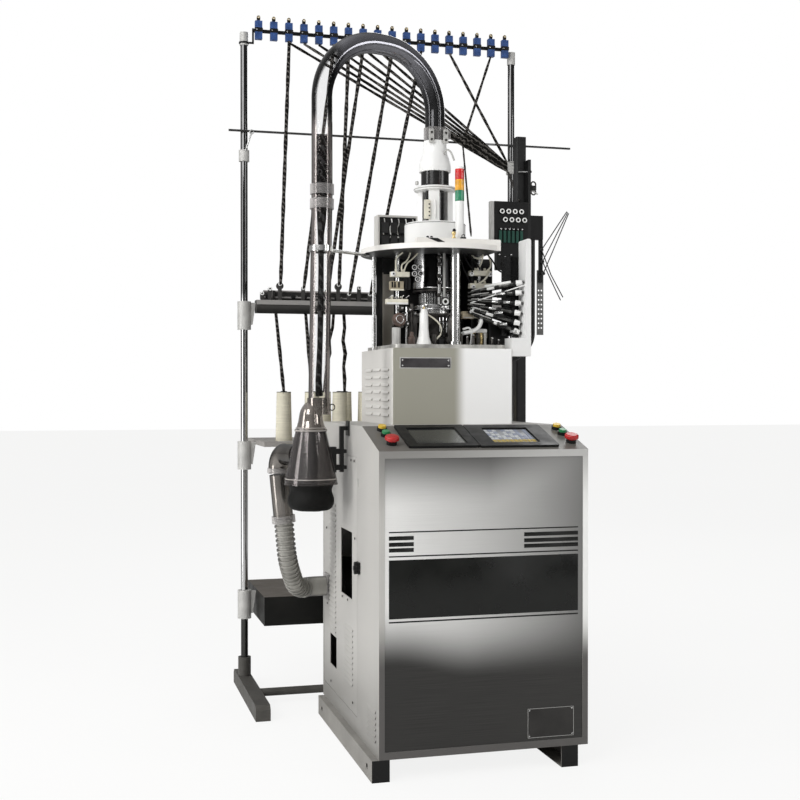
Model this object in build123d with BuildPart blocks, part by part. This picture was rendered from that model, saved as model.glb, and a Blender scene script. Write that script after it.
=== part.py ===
from build123d import *
import math
import os

os.makedirs("parts", exist_ok=True)

# Industrial sock knitting machine with its yarn creel, in millimetres.
# The origin lies on the floor below the middle of the whole outline.
# Places are written as x from the cabinet's left side, y from its front and z from the floor.

# Cabinet
cabinet_left_x = -380
cabinet_front_y = -665
cabinet_width = 610
cabinet_depth = 761
skid_height = 60
console_front_height = 897
console_depth = 200
deck_height = 960
sheet = 2
fit_gap = 0.3

# Skids
skid_width = 50
skid_length = 742
skid_wall = 4
left_skid_x = -20
right_skid_x = 530
skid_hole = 18
skid_hole_inset = 58
cross_bar = 40
cross_bar_height = 28
cross_bar_places = (250, 702)

# Front panel
panel_border = 16
panel_head = 20
panel_lap = 8

# Side panel and its louvres
side_panel_front = 264
side_panel_back = 741
side_panel_bottom = 109
side_panel_top = 868
side_panel_gap = 1.5
side_lip = 12
tall_window = (329, 483, 442, 641)
low_window = (550, 647, 187, 285)
louvre_pitch = 16
louvre_height = 9
louvre_out = 4
louvre_blade = 1.2
vent_rear = (558, 92, 297, 26)
vent_front = (318, 109, 187, 11)
vent_corner = (34, 94, 98, 6)

# Latch
latch_y = 240
latch_z = 549
latch_plate = (40, 34, 5)
latch_pin = 10
latch_lever = (36, 16, 9)
latch_gap = 0.3

# Console
display_place = (192, 109)
display_size = (204, 177)
display_window = (146, 130)
keypad_place = (413, 106)
keypad_size = (234, 176)
key_field = (138, 123)
key_count = (10, 7)
key_size = (11, 13)
key_height = 1.5
bezel_height = 7
bezel_depth = 4
left_buttons_x = 49
right_buttons_x = 580
button_rows = (171, 124, 56)
collar_radius = 14.5
collar_bore = 11.5
collar_height = 9
cap_gap = 0.3
cap_proud = 3
mushroom_radius = 20
mushroom_height = 11
button_travel = 4

# Head box and bed
head_left = 124
head_front = 334
head_width = 382
head_depth = 401
head_height = 230
head_vent_rows = 7
head_vent_columns = (372, 478, 584)
head_vent_length = 88
head_vent_bottom = 984
head_vent_pitch = 23
bed_margin = 14
bed_thickness = 12
guard_left = 162
guard_back = 650
casing_left = 422
casing_right = 496
casing_front = 490

# Knitting head
knit_x = 316
knit_y = 530
plate_height = 1490
plate_thickness = 16
plate_radius = 236
plate_right = 470
front_rail_left = 203
front_rail_y = 340
front_rail_depth = 24
front_rail_height = 34
cylinder_radius = 51
cylinder_wall = 9
cylinder_top = 1334
needle_count = 40
needle_width = 1.6
needle_rise = 34
sinker_ring_radius = 67
sinker_ring_z = 1322
sinker_ring_thickness = 8
cam_ring_radius = 92
cam_ring_gap = 0.5
cam_ring_height = 88
cam_window = (30, 46)
cam_count = 8
sleeve_radius = 66
sleeve_bottom = 1387
dial_radius = 46
dial_thickness = 7
dial_z = 1374
dial_shaft_radius = 14
shaft_gap = 0.1
front_column = (337, 380, 14)
slim_columns = ((126, 570), (215, 700), (430, 690), (176, 470), (444, 470))
slim_column_radius = 6

# Tower above the plate
drum_radius = 97
drum_height = 85
cage_radius = 55
cage_top = 1695
flange_radius = 66
flange_thickness = 12
band_radius = 44
band_height = 48
cone_base_radius = 50
cone_top_radius = 36
cone_height = 98
core_radius = 30

# Sock pipe, from the tower over to the collecting bell
pipe_radius = 31.5
pipe_wall = 2.5
pipe_foot = 1856
arch_left = (-75, 405)
arch_crown = 2131
arch_bend = 192
coupling_z = 1650
coupling_radius = 36
coupling_height = 60
bell_x = -114
bell_y = 380
bell_top = 1040
neck_shift = 24
neck_foot = 990

# Bell
bell_wall = 3
bell_neck_radius = 34.5
bell_shoulder = (37.5, 971)
bell_dome = (31, 1003)
dome_top = 1030
bell_ring = (45, 945)
bell_rim = (78, 783)
filter_wall = 1.2
boot_height = 82
boot_neck = 52
boot_bulge = 73
bracket_x = -21
bracket_bottom = 818
bracket_top = 955

# Suction line
elbow_x = -180
elbow_y = 560
elbow_z = 868
elbow_bend = 46
elbow_radius = 33
duct_radius = 31
duct_wall = 2.5
collar_z = 835
duct_foot = (-166, 562, 665)
hose_radius = 30.5
hose_core = 26.5
hose_rib_pitch = 15
hose_rib = 5
hose_bends = ((-152, 572, 530), (-112, 636), -66)
hose_bend_radii = (150, 88, 50)
port_y = 690
port_z = 428
cuff_length = 84

# Fan and drive inside the covers
fan_y = 652
fan_radius = 98
fan_width = 74
motor_place = (430, 640)
motor_radius = 55
motor_height = 130
motor_shaft_radius = 9
pulley_z = 1128
pulley_width = 22
motor_pulley_radius = 30
cylinder_pulley_radius = 60
belt_thickness = 4

# Stack light
light_place = (350, 380)
light_pole_radius = 13
light_pole_height = 137
lens_radius = 14
lens_height = 33

# Yarn stand on the right
post_x = 662
post_size = 34
post_y = 715
post_bottom = 620
post_top = 1926
flat_bar = (694, 10, 24)
feeder_left = 573
feeder_bottom = 1547
feeder_top = 1700

# Creel
pole_radius = 12.5
left_pole_x = -210
right_pole_x = 795
pole_y = 1134
pole_top = 2325
cap_height = 46
cap_radius = 15
foot_front = 690
foot_back = 1250
foot_width = 48
foot_height = 50
socket_radius = 22.5
socket_top = 116
tie_bar_y = 925
tie_bar_radius = 13.5
clamp_radius = 24
clamp_height = 100
clamp_drop = 5
clamp_reach = 40
shelf_front = 928
shelf_back = 1330
cone_shelf_top = 887
cone_shelf_thickness = 17
tray_top = 358
tray_height = 98
guide_front = 1100
guide_back = 1150
guide_shelf_top = 1383
guide_shelf_height = 45
guide_lip = 17
guide_post_width = 13
rod_radius = 4
rod_z = 1980
rod_end = 1026.5
rail_z = 2338
rail_size = 12
rail_left = -176
rail_right = 777
tensioner_first = -161
tensioner_pitch = 54.3
tensioner_count = 18
tensioner_width = 25
tensioner_depth = 30
cone_radius = 29
cone_tip_radius = 25
cone_tall = 170
cone_bore = 9
yarn_radius = 2.6
fine_yarn_radius = 1.5


def spot(x, y, z=0):
    return (cabinet_left_x + x, cabinet_front_y + y, z)


def plan(z):
    return Plane(origin=spot(0, 0, z), x_dir=(1, 0, 0), z_dir=(0, 0, 1))


def elevation(y):
    return Plane(origin=spot(0, y), x_dir=(1, 0, 0), z_dir=(0, -1, 0))


def profile(x):
    return Plane(origin=spot(x, 0), x_dir=(0, 1, 0), z_dir=(1, 0, 0))


def span(x0, x1, y0, y1, mode=Mode.ADD):
    with Locations(((x0 + x1) / 2, (y0 + y1) / 2)):
        Rectangle(x1 - x0, y1 - y0, mode=mode)


def rod(start, end, radius):
    line = Vector(*end) - Vector(*start)
    with BuildSketch(Plane(origin=start, z_dir=line)) as section:
        Circle(radius)
    extrude(section.sketch, amount=line.length)

slope = math.atan2(deck_height - console_front_height, console_depth)
slope_run = console_depth / math.cos(slope)
console = Plane(
    origin=spot(0, 0, console_front_height),
    x_dir=(1, 0, 0),
    z_dir=(0, -math.sin(slope), math.cos(slope)),
)
band_z = cage_top + flange_thickness
cone_z = band_z + band_height
console_axis = Axis(console.origin, console.z_dir)
bed_top = deck_height + head_height + bed_thickness
plate_top = plate_height + plate_thickness

# Base frame: two channel skids open toward each other, joined by two cross bars
with BuildPart() as base_frame:
    for skid_x, web_side in ((left_skid_x, 0), (right_skid_x, 1)):
        with BuildSketch(elevation(0)):
            span(skid_x, skid_x + skid_width, 0, skid_height)
        extrude(amount=-skid_length)
        pocket_x = skid_x + skid_wall * (1 - web_side)
        with BuildSketch(elevation(skid_wall)):
            span(pocket_x, pocket_x + skid_width - skid_wall, skid_wall, skid_height - skid_wall)
        extrude(amount=-(skid_length - 2 * skid_wall), mode=Mode.SUBTRACT)
        web_x = skid_x + (skid_width - skid_wall) * web_side
        with BuildSketch(profile(web_x)):
            with Locations(
                (skid_hole_inset, skid_height / 2), (skid_length - skid_hole_inset, skid_height / 2)
            ):
                Circle(skid_hole / 2)
        extrude(amount=skid_wall, mode=Mode.SUBTRACT)
    for bar_y in cross_bar_places:
        with BuildSketch(elevation(bar_y - cross_bar / 2)):
            span(
                left_skid_x + skid_wall,
                right_skid_x + skid_width - skid_wall,
                skid_height - skid_wall - cross_bar_height,
                skid_height - skid_wall,
            )
        extrude(amount=-cross_bar)
base_frame.part.label = "base_frame"
export_step(base_frame.part, "parts/base_frame.step")

# Cabinet shell: one folded sheet housing with a sloping console at the front
with BuildPart() as cabinet_shell:
    with BuildSketch(profile(0)) as side_shape:
        with BuildLine():
            Polyline(
                (0, skid_height),
                (0, console_front_height),
                (console_depth, deck_height),
                (cabinet_depth, deck_height),
                (cabinet_depth, skid_height),
                close=True,
            )
        make_face()
    extrude(amount=cabinet_width)
    with BuildSketch(profile(sheet)):
        add(side_shape.sketch_local)
        offset(amount=-sheet, mode=Mode.REPLACE)
    extrude(amount=cabinet_width - 2 * sheet, mode=Mode.SUBTRACT)
    with BuildSketch(elevation(0)):
        span(
            panel_border,
            cabinet_width - panel_border,
            skid_height + panel_head,
            console_front_height - panel_head,
        )
    extrude(amount=-sheet, mode=Mode.SUBTRACT)
    with BuildSketch(profile(0)):
        span(side_panel_front, side_panel_back, side_panel_bottom, side_panel_top)
    extrude(amount=sheet, mode=Mode.SUBTRACT)
    with BuildSketch(profile(sheet)):
        span(
            side_panel_front - side_lip,
            side_panel_back + side_lip / 2,
            side_panel_bottom - side_lip,
            side_panel_top + side_lip,
        )
        span(
            side_panel_front + side_lip,
            side_panel_back - side_lip,
            side_panel_bottom + side_lip,
            side_panel_top - side_lip,
            mode=Mode.SUBTRACT,
        )
    extrude(amount=sheet)
    vent_y, vent_length, vent_z, vent_rows = vent_corner
    with BuildSketch(profile(0)):
        with Locations((side_panel_front - side_lip - 2, 794)):
            SlotOverall(26, 10, rotation=90)
        for row in range(vent_rows):
            slot_z = vent_z + row * louvre_pitch
            span(vent_y, vent_y + vent_length, slot_z, slot_z + louvre_height - 2)
    extrude(amount=sheet, mode=Mode.SUBTRACT)
    with BuildSketch(elevation(vent_y)):
        for row in range(vent_rows):
            top = vent_z + row * louvre_pitch + louvre_height
            with BuildLine():
                Polyline(
                    (0, top),
                    (-louvre_out, top - louvre_height),
                    (-louvre_out + louvre_blade, top - louvre_height),
                    (0, top - 2),
                    close=True,
                )
            make_face()
    extrude(amount=-vent_length)
    with BuildSketch(console):
        with Locations(display_place):
            Rectangle(display_window[0] + 20, display_window[1] + 20)
        with Locations(keypad_place):
            Rectangle(key_field[0] + 8, key_field[1] + 8)
    extrude(amount=-sheet - 1, mode=Mode.SUBTRACT)
cabinet_shell.part.label = "cabinet_shell"
export_step(cabinet_shell.part, "parts/cabinet_shell.step")

# Front panel: plain sheet seated behind the border
with BuildPart() as front_panel:
    with BuildSketch(elevation(sheet)):
        span(
            panel_border - panel_lap,
            cabinet_width - panel_border + panel_lap,
            skid_height + panel_head - panel_lap,
            console_front_height - panel_head + panel_lap,
        )
    extrude(amount=-sheet)
front_panel.part.label = "front_panel"
export_step(front_panel.part, "parts/front_panel.step")

# Side service panel: two windows and two columns of louvres
with BuildPart() as side_panel:
    with BuildSketch(profile(0)):
        span(
            side_panel_front + side_panel_gap,
            side_panel_back - side_panel_gap,
            side_panel_bottom + side_panel_gap,
            side_panel_top - side_panel_gap,
        )
        span(*tall_window, mode=Mode.SUBTRACT)
        span(*low_window, mode=Mode.SUBTRACT)
        for vent_y, vent_length, vent_z, vent_rows in (vent_rear, vent_front):
            for row in range(vent_rows):
                slot_z = vent_z + row * louvre_pitch
                span(vent_y, vent_y + vent_length, slot_z, slot_z + louvre_height - 2, mode=Mode.SUBTRACT)
        with Locations((port_y, port_z)):
            Circle(duct_radius + fit_gap, mode=Mode.SUBTRACT)
    extrude(amount=sheet)
    for vent_y, vent_length, vent_z, vent_rows in (vent_rear, vent_front):
        with BuildSketch(elevation(vent_y)):
            for row in range(vent_rows):
                top = vent_z + row * louvre_pitch + louvre_height
                with BuildLine():
                    Polyline(
                        (0, top),
                        (-louvre_out, top - louvre_height),
                        (-louvre_out + louvre_blade, top - louvre_height),
                        (0, top - 2),
                        close=True,
                    )
                make_face()
        extrude(amount=-vent_length)
side_panel.part.label = "side_panel"
export_step(side_panel.part, "parts/side_panel.step")

# Lever of the turn latch beside the seam
with BuildPart() as latch_lever_piece:
    with BuildSketch(profile(-latch_plate[2] - latch_gap)):
        with Locations((latch_y, latch_z)):
            SlotOverall(latch_lever[0], latch_lever[1], rotation=90)
            Circle(latch_lever[1] / 2 + 3)
            Circle(latch_pin / 2 + 0.1, mode=Mode.SUBTRACT)
    extrude(amount=-latch_lever[2])
latch_lever_piece.part.label = "latch_lever"
export_step(latch_lever_piece.part, "parts/latch_lever.step")

# Push buttons, left and right of the console
button_places = {
    "yellow_button_left": (left_buttons_x, button_rows[0]),
    "green_button_left": (left_buttons_x, button_rows[1]),
    "stop_button_left": (left_buttons_x, button_rows[2]),
    "yellow_button_right": (right_buttons_x, button_rows[0]),
    "green_button_right": (right_buttons_x, button_rows[1]),
    "stop_button_right": (right_buttons_x, button_rows[2]),
}

# Console fittings: display frame, keypad frame and the button collars
with BuildPart() as console_frames:
    for place, size, window in (
        (display_place, display_size, display_window),
        (keypad_place, keypad_size, key_field),
    ):
        with BuildSketch(console):
            with Locations(place):
                RectangleRounded(size[0], size[1], 5)
                Rectangle(window[0], window[1], mode=Mode.SUBTRACT)
        extrude(amount=bezel_height)
        with BuildSketch(console):
            with Locations(place):
                Rectangle(window[0] + 7, window[1] + 7)
                Rectangle(window[0], window[1], mode=Mode.SUBTRACT)
        extrude(amount=-sheet - 4)
    with BuildSketch(console):
        with Locations(*button_places.values()):
            Circle(collar_radius)
    extrude(amount=collar_height)
    with BuildSketch(console.offset(sheet)):
        with Locations(*button_places.values()):
            Circle(collar_bore)
    extrude(amount=collar_height, mode=Mode.SUBTRACT)
console_frames.part.label = "console_frames"
export_step(console_frames.part, "parts/console_frames.step")

with BuildPart() as display_glass:
    with BuildSketch(console.offset(bezel_height - bezel_depth)):
        with Locations(display_place):
            Rectangle(display_window[0] - 2 * fit_gap, display_window[1] - 2 * fit_gap)
    extrude(amount=-4)
display_glass.part.label = "display_glass"
export_step(display_glass.part, "parts/display_glass.step")

# Membrane keypad with raised keys
with BuildPart() as keypad:
    with BuildSketch(console.offset(bezel_height - bezel_depth)):
        with Locations(keypad_place):
            Rectangle(key_field[0] - 2 * fit_gap, key_field[1] - 2 * fit_gap)
    extrude(amount=-4)
    with BuildSketch(console.offset(bezel_height - bezel_depth)):
        with Locations(keypad_place):
            with GridLocations(key_field[0] / key_count[0], key_field[1] / key_count[1], *key_count):
                Rectangle(key_size[0], key_size[1])
    extrude(amount=key_height)
keypad.part.label = "keypad"
export_step(keypad.part, "parts/keypad.step")

# Button caps and mushroom heads
for button_name, place in button_places.items():
    with BuildPart() as button:
        with BuildSketch(console.offset(sheet + button_travel + fit_gap)):
            with Locations(place):
                Circle(collar_bore - cap_gap)
        if button_name.startswith("stop"):
            extrude(amount=collar_height)
            with BuildSketch(console.offset(collar_height + button_travel + 1)):
                with Locations(place):
                    Circle(mushroom_radius)
            extrude(amount=mushroom_height)
            fillet(button.edges().filter_by(GeomType.CIRCLE).sort_by(console_axis)[-1:], 5)
        else:
            extrude(amount=collar_height + cap_proud - sheet)
            chamfer(button.edges().filter_by(GeomType.CIRCLE).sort_by(console_axis)[-1:], 1)
    button.part.label = button_name
    export_step(button.part, "parts/" + button_name + ".step")

# Head box: louvred cover on the deck, with an inner shelf for the bed
with BuildPart() as head_box:
    with BuildSketch(plan(deck_height)):
        span(head_left, head_left + head_width, head_front, head_front + head_depth)
    extrude(amount=head_height)
    fillet(head_box.edges().filter_by(Axis.Z), 5)
    with BuildSketch(plan(deck_height)):
        span(
            head_left + sheet,
            head_left + head_width - sheet,
            head_front + sheet,
            head_front + head_depth - sheet,
        )
    extrude(amount=head_height - sheet, mode=Mode.SUBTRACT)
    with BuildSketch(plan(deck_height + head_height - sheet)):
        with Locations((knit_x, knit_y)):
            Circle(cylinder_pulley_radius + 4)
    extrude(amount=sheet, mode=Mode.SUBTRACT)
    with BuildSketch(profile(head_left)):
        for column_y in head_vent_columns:
            for row in range(head_vent_rows):
                slot_z = head_vent_bottom + row * head_vent_pitch
                span(column_y, column_y + head_vent_length, slot_z, slot_z + louvre_height - 2)
    extrude(amount=sheet, mode=Mode.SUBTRACT)
    for column_y in head_vent_columns:
        with BuildSketch(elevation(column_y)):
            for row in range(head_vent_rows):
                top = head_vent_bottom + row * head_vent_pitch + louvre_height
                with BuildLine():
                    Polyline(
                        (head_left, top),
                        (head_left - louvre_out, top - louvre_height),
                        (head_left - louvre_out + louvre_blade, top - louvre_height),
                        (head_left, top - 2),
                        close=True,
                    )
                make_face()
        extrude(amount=-head_vent_length)
head_box.part.label = "head_box"
export_step(head_box.part, "parts/head_box.step")

# Bed plate on the head box, with a turned boss around the cylinder
with BuildPart() as bed_plate:
    with BuildSketch(plan(deck_height + head_height)):
        span(
            head_left + bed_margin,
            head_left + head_width - bed_margin,
            head_front + bed_margin,
            head_front + head_depth - bed_margin,
        )
    extrude(amount=bed_thickness)
    fillet(bed_plate.edges().filter_by(Axis.Z), 20)
    with BuildSketch(plan(bed_top)):
        with Locations((knit_x, knit_y)):
            Circle(cam_ring_radius + 16)
    extrude(amount=6)
    with BuildSketch(plan(deck_height + head_height)):
        with Locations((knit_x, knit_y)):
            Circle(cylinder_radius + fit_gap)
    extrude(amount=bed_thickness + 6, mode=Mode.SUBTRACT)
    chamfer(bed_plate.edges().group_by(Axis.Z)[-1], 1.5)
    # Rear guard sheet, bent round the back of the head, with two closed casings before it
    with BuildSketch(plan(bed_top + 0.1)):
        span(guard_left, guard_left + 2.5, guard_back - 50, guard_back + 2.5)
        span(guard_left, casing_right - 6, guard_back, guard_back + 2.5)
    extrude(amount=plate_height - bed_top - 0.2)
    casing_width = casing_right - casing_left
    casing_depth = guard_back - casing_front
    with BuildSketch(plan(bed_top + 0.1)):
        with Locations((casing_left + casing_width / 2, casing_front + casing_depth / 2 - 0.1)):
            RectangleRounded(casing_width, casing_depth, 4)
    extrude(amount=plate_height - bed_top - 10)
    with BuildSketch(plan(bed_top + 0.1)):
        with Locations((casing_left + casing_width + 6, casing_front - 20)):
            RectangleRounded(casing_width - 8, 38, 4)
    extrude(amount=73)
bed_plate.part.label = "bed_plate"
export_step(bed_plate.part, "parts/bed_plate.step")

# Cam ring around the needle cylinder, with windows cut for the cams
with BuildPart() as cam_ring:
    with BuildSketch(plan(bed_top + 6)):
        with Locations((knit_x, knit_y)):
            Circle(cam_ring_radius)
            Circle(cylinder_radius + cam_ring_gap, mode=Mode.SUBTRACT)
    extrude(amount=cam_ring_height)
    with BuildSketch(plan(bed_top + 6 + cam_ring_height)):
        with Locations((knit_x, knit_y)):
            Circle(cam_ring_radius + 8)
            Circle(cylinder_radius + cam_ring_gap, mode=Mode.SUBTRACT)
    extrude(amount=6)
    with BuildSketch(plan(bed_top + 6 + 20)):
        with Locations((knit_x, knit_y)):
            with PolarLocations(cam_ring_radius, cam_count):
                Rectangle(cam_window[0], cam_window[0])
    extrude(amount=cam_window[1], mode=Mode.SUBTRACT)
    with BuildSketch(plan(bed_top + 6 + 26)):
        with Locations((knit_x, knit_y)):
            with PolarLocations(cam_ring_radius - 9, cam_count):
                Rectangle(16, 18)
    extrude(amount=26)
cam_ring.part.label = "cam_ring"
export_step(cam_ring.part, "parts/cam_ring.step")

# Needle cylinder: bored tube with tricks, needles, sinker ring and drive pulley
with BuildPart() as needle_cylinder:
    with BuildSketch(plan(pulley_z - 4)):
        with Locations((knit_x, knit_y)):
            Circle(cylinder_radius)
    extrude(amount=cylinder_top - pulley_z + 4)
    with BuildSketch(plan(pulley_z)):
        with Locations((knit_x, knit_y)):
            Circle(cylinder_pulley_radius)
    extrude(amount=pulley_width)
    with BuildSketch(plan(sinker_ring_z)):
        with Locations((knit_x, knit_y)):
            Circle(sinker_ring_radius)
    extrude(amount=sinker_ring_thickness)
    with BuildSketch(plan(sinker_ring_z)):
        with Locations((knit_x, knit_y)):
            with PolarLocations(sinker_ring_radius, needle_count):
                Rectangle(7, 3)
    extrude(amount=sinker_ring_thickness, mode=Mode.SUBTRACT)
    with BuildSketch(plan(pulley_z - 4)):
        with Locations((knit_x, knit_y)):
            Circle(cylinder_radius - cylinder_wall)
    extrude(amount=cylinder_top - pulley_z + 4, mode=Mode.SUBTRACT)
    with BuildSketch(plan(cylinder_top - 6)):
        with Locations((knit_x, knit_y)):
            with PolarLocations(cylinder_radius - 2, needle_count):
                Rectangle(4, needle_width)
    extrude(amount=needle_rise + 6)
needle_cylinder.part.label = "needle_cylinder"
export_step(needle_cylinder.part, "parts/needle_cylinder.step")

# Dial over the cylinder, on its shaft inside the chrome sleeve
with BuildPart() as dial:
    with BuildSketch(plan(dial_z)):
        with Locations((knit_x, knit_y)):
            Circle(dial_radius)
    extrude(amount=dial_thickness)
    with BuildSketch(plan(dial_z + dial_thickness)):
        with Locations((knit_x, knit_y)):
            Circle(dial_shaft_radius)
    extrude(amount=plate_height - dial_z)
    with BuildSketch(plan(dial_z)):
        with Locations((knit_x, knit_y)):
            with PolarLocations(dial_radius, needle_count):
                Rectangle(8, 2.4)
    extrude(amount=dial_thickness, mode=Mode.SUBTRACT)
dial.part.label = "dial"
export_step(dial.part, "parts/dial.step")

with BuildPart() as dial_sleeve:
    with BuildSketch(plan(sleeve_bottom)):
        with Locations((knit_x, knit_y)):
            Circle(sleeve_radius)
            Circle(dial_shaft_radius + shaft_gap, mode=Mode.SUBTRACT)
    extrude(amount=plate_height - sleeve_bottom)
    with BuildSketch(plan(sleeve_bottom)):
        with Locations((knit_x, knit_y)):
            Circle(sleeve_radius + 4)
            Circle(sleeve_radius, mode=Mode.SUBTRACT)
    extrude(amount=16)
dial_sleeve.part.label = "dial_sleeve"
export_step(dial_sleeve.part, "parts/dial_sleeve.step")

# Top plate: round wing with a flat right side and a straight front rail
with BuildPart() as top_plate:
    with BuildSketch(plan(plate_height)):
        with Locations((knit_x, knit_y)):
            Circle(plate_radius)
        span(plate_right, knit_x + 2 * plate_radius, 0, 2 * knit_y, mode=Mode.SUBTRACT)
        with Locations((knit_x, knit_y)):
            Circle(dial_shaft_radius + 1, mode=Mode.SUBTRACT)
    extrude(amount=plate_thickness)
    with BuildSketch(plan(plate_height)):
        span(front_rail_left, plate_right, front_rail_y, front_rail_y + front_rail_depth)
    extrude(amount=front_rail_height)
    chamfer(top_plate.edges().group_by(Axis.Z)[-1], 2)
top_plate.part.label = "top_plate"
export_step(top_plate.part, "parts/top_plate.step")

# Drum, cage and flange above the plate
with BuildPart() as tower_housing:
    with BuildSketch(plan(plate_top)):
        with Locations((knit_x, knit_y)):
            Circle(drum_radius)
    extrude(amount=drum_height)
    fillet(tower_housing.edges().filter_by(GeomType.CIRCLE).group_by(Axis.Z)[-1], 5)
    with BuildSketch(plan(plate_top + drum_height)):
        with Locations((knit_x, knit_y)):
            with PolarLocations(cage_radius - 9, 3, start_angle=10):
                Rectangle(18, 34)
    extrude(amount=cage_top - plate_top - drum_height)
    with BuildSketch(plan(cage_top)):
        with Locations((knit_x, knit_y)):
            Circle(flange_radius)
    extrude(amount=flange_thickness)
    fillet(tower_housing.edges().filter_by(GeomType.CIRCLE).group_by(Axis.Z)[-1], 4)
    with BuildSketch(plan(plate_top)):
        with Locations((knit_x, knit_y)):
            Circle(core_radius + fit_gap)
    extrude(amount=cage_top + flange_thickness - plate_top, mode=Mode.SUBTRACT)

    # White cone that narrows to the sock pipe
    with BuildSketch(elevation(knit_y)):
        with BuildLine():
            Line((knit_x + pipe_radius, cone_z), (knit_x + cone_base_radius, cone_z))
            Line((knit_x + cone_base_radius, cone_z), (knit_x + cone_base_radius, cone_z + 12))
            Spline(
                (knit_x + cone_base_radius, cone_z + 12),
                (knit_x + cone_top_radius + 3, cone_z + cone_height * 0.62),
                (knit_x + cone_top_radius, cone_z + cone_height),
                tangents=((0, 1), (0, 1)),
            )
            Line((knit_x + cone_top_radius, cone_z + cone_height), (knit_x + pipe_radius, cone_z + cone_height))
            Line((knit_x + pipe_radius, cone_z + cone_height), (knit_x + pipe_radius, cone_z))
        make_face()
    revolve(axis=Axis(spot(knit_x, knit_y), (0, 0, 1)))

tower_housing.part.label = "tower_housing"
export_step(tower_housing.part, "parts/tower_housing.step")

# Dark core tube with the black band under the cone
with BuildPart() as tower_core:
    with BuildSketch(plan(plate_top)):
        with Locations((knit_x, knit_y)):
            Circle(core_radius)
    extrude(amount=band_z - plate_top)
    with BuildSketch(plan(band_z)):
        with Locations((knit_x, knit_y)):
            Circle(band_radius)
    extrude(amount=band_height)
    with BuildSketch(plan(plate_top)):
        with Locations((knit_x, knit_y)):
            Circle(core_radius - 6)
    extrude(amount=cone_z - plate_top, mode=Mode.SUBTRACT)
tower_core.part.label = "tower_core"
export_step(tower_core.part, "parts/tower_core.step")

# Clear arch pipe: up from the tower, over to the left and down to the coupling
arch_end = (arch_left[0], arch_left[1], coupling_z)
bell_entry = (bell_x + neck_shift, bell_y, bell_top - 24)
drop_line = Vector(*spot(*bell_entry)) - Vector(*spot(*arch_end))
drop_gap = fit_gap + pipe_radius * math.hypot(drop_line.X, drop_line.Y) / abs(drop_line.Z)
with BuildPart() as arch_pipe:
    with BuildLine() as arch_path:
        FilletPolyline(
            spot(knit_x, knit_y, cone_z),
            spot(knit_x, knit_y, arch_crown),
            spot(arch_left[0], arch_left[1], arch_crown),
            spot(*arch_end),
            radius=arch_bend,
        )
    with BuildSketch(Plane(origin=arch_path.line @ 0, z_dir=arch_path.line % 0)):
        Circle(pipe_radius)
        Circle(pipe_radius - pipe_wall, mode=Mode.SUBTRACT)
    sweep()
arch_pipe.part.label = "arch_pipe"
export_step(arch_pipe.part, "parts/arch_pipe.step")

# The drop pipe leans a little, so it starts just clear of the arch pipe's end
drop_start = Vector(*spot(*arch_end)) + drop_line.normalized() * drop_gap
with BuildPart() as sock_pipe:
    with BuildSketch(Plane(origin=drop_start, z_dir=drop_line)):
        Circle(pipe_radius)
        Circle(pipe_radius - pipe_wall, mode=Mode.SUBTRACT)
    extrude(amount=drop_line.length - drop_gap)
sock_pipe.part.label = "sock_pipe"
export_step(sock_pipe.part, "parts/sock_pipe.step")

# Columns between the bed and the top plate, and the stay to the sock pipe
with BuildPart() as head_columns:
    column_x, column_y, column_radius = front_column
    with BuildSketch(plan(bed_top)):
        with Locations((column_x, column_y)):
            Circle(column_radius)
    extrude(amount=plate_height - bed_top)
    with BuildSketch(plan(bed_top)):
        with Locations((column_x, column_y)):
            Circle(column_radius + 5)
    extrude(amount=10)
    with BuildSketch(plan(bed_top)):
        with Locations(*slim_columns[1:]):
            Circle(slim_column_radius)
    extrude(amount=plate_height - bed_top)
    with BuildSketch(plan(deck_height + head_height)):
        with Locations(slim_columns[0]):
            Circle(slim_column_radius)
    extrude(amount=plate_height - deck_height - head_height)
    # Thin stay between the top plate and the arch pipe
    stay_z = plate_height - 5
    stay_drop = (coupling_z - stay_z) / (coupling_z - bell_entry[2])
    stay_point = Vector(*spot(*arch_end)) + drop_line * stay_drop
    with BuildSketch(Plane(origin=stay_point, z_dir=drop_line)):
        Circle(pipe_radius + 5)
        Circle(pipe_radius + fit_gap, mode=Mode.SUBTRACT)
    extrude(amount=8, both=True)
    stay_end = Vector(*spot(knit_x - plate_radius + 16, knit_y - 14, stay_z))
    stay_line = (stay_end - stay_point).normalized()
    rod(tuple(stay_point + stay_line * (pipe_radius + 3)), tuple(stay_end), 5)
head_columns.part.label = "head_columns"
export_step(head_columns.part, "parts/head_columns.step")

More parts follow.
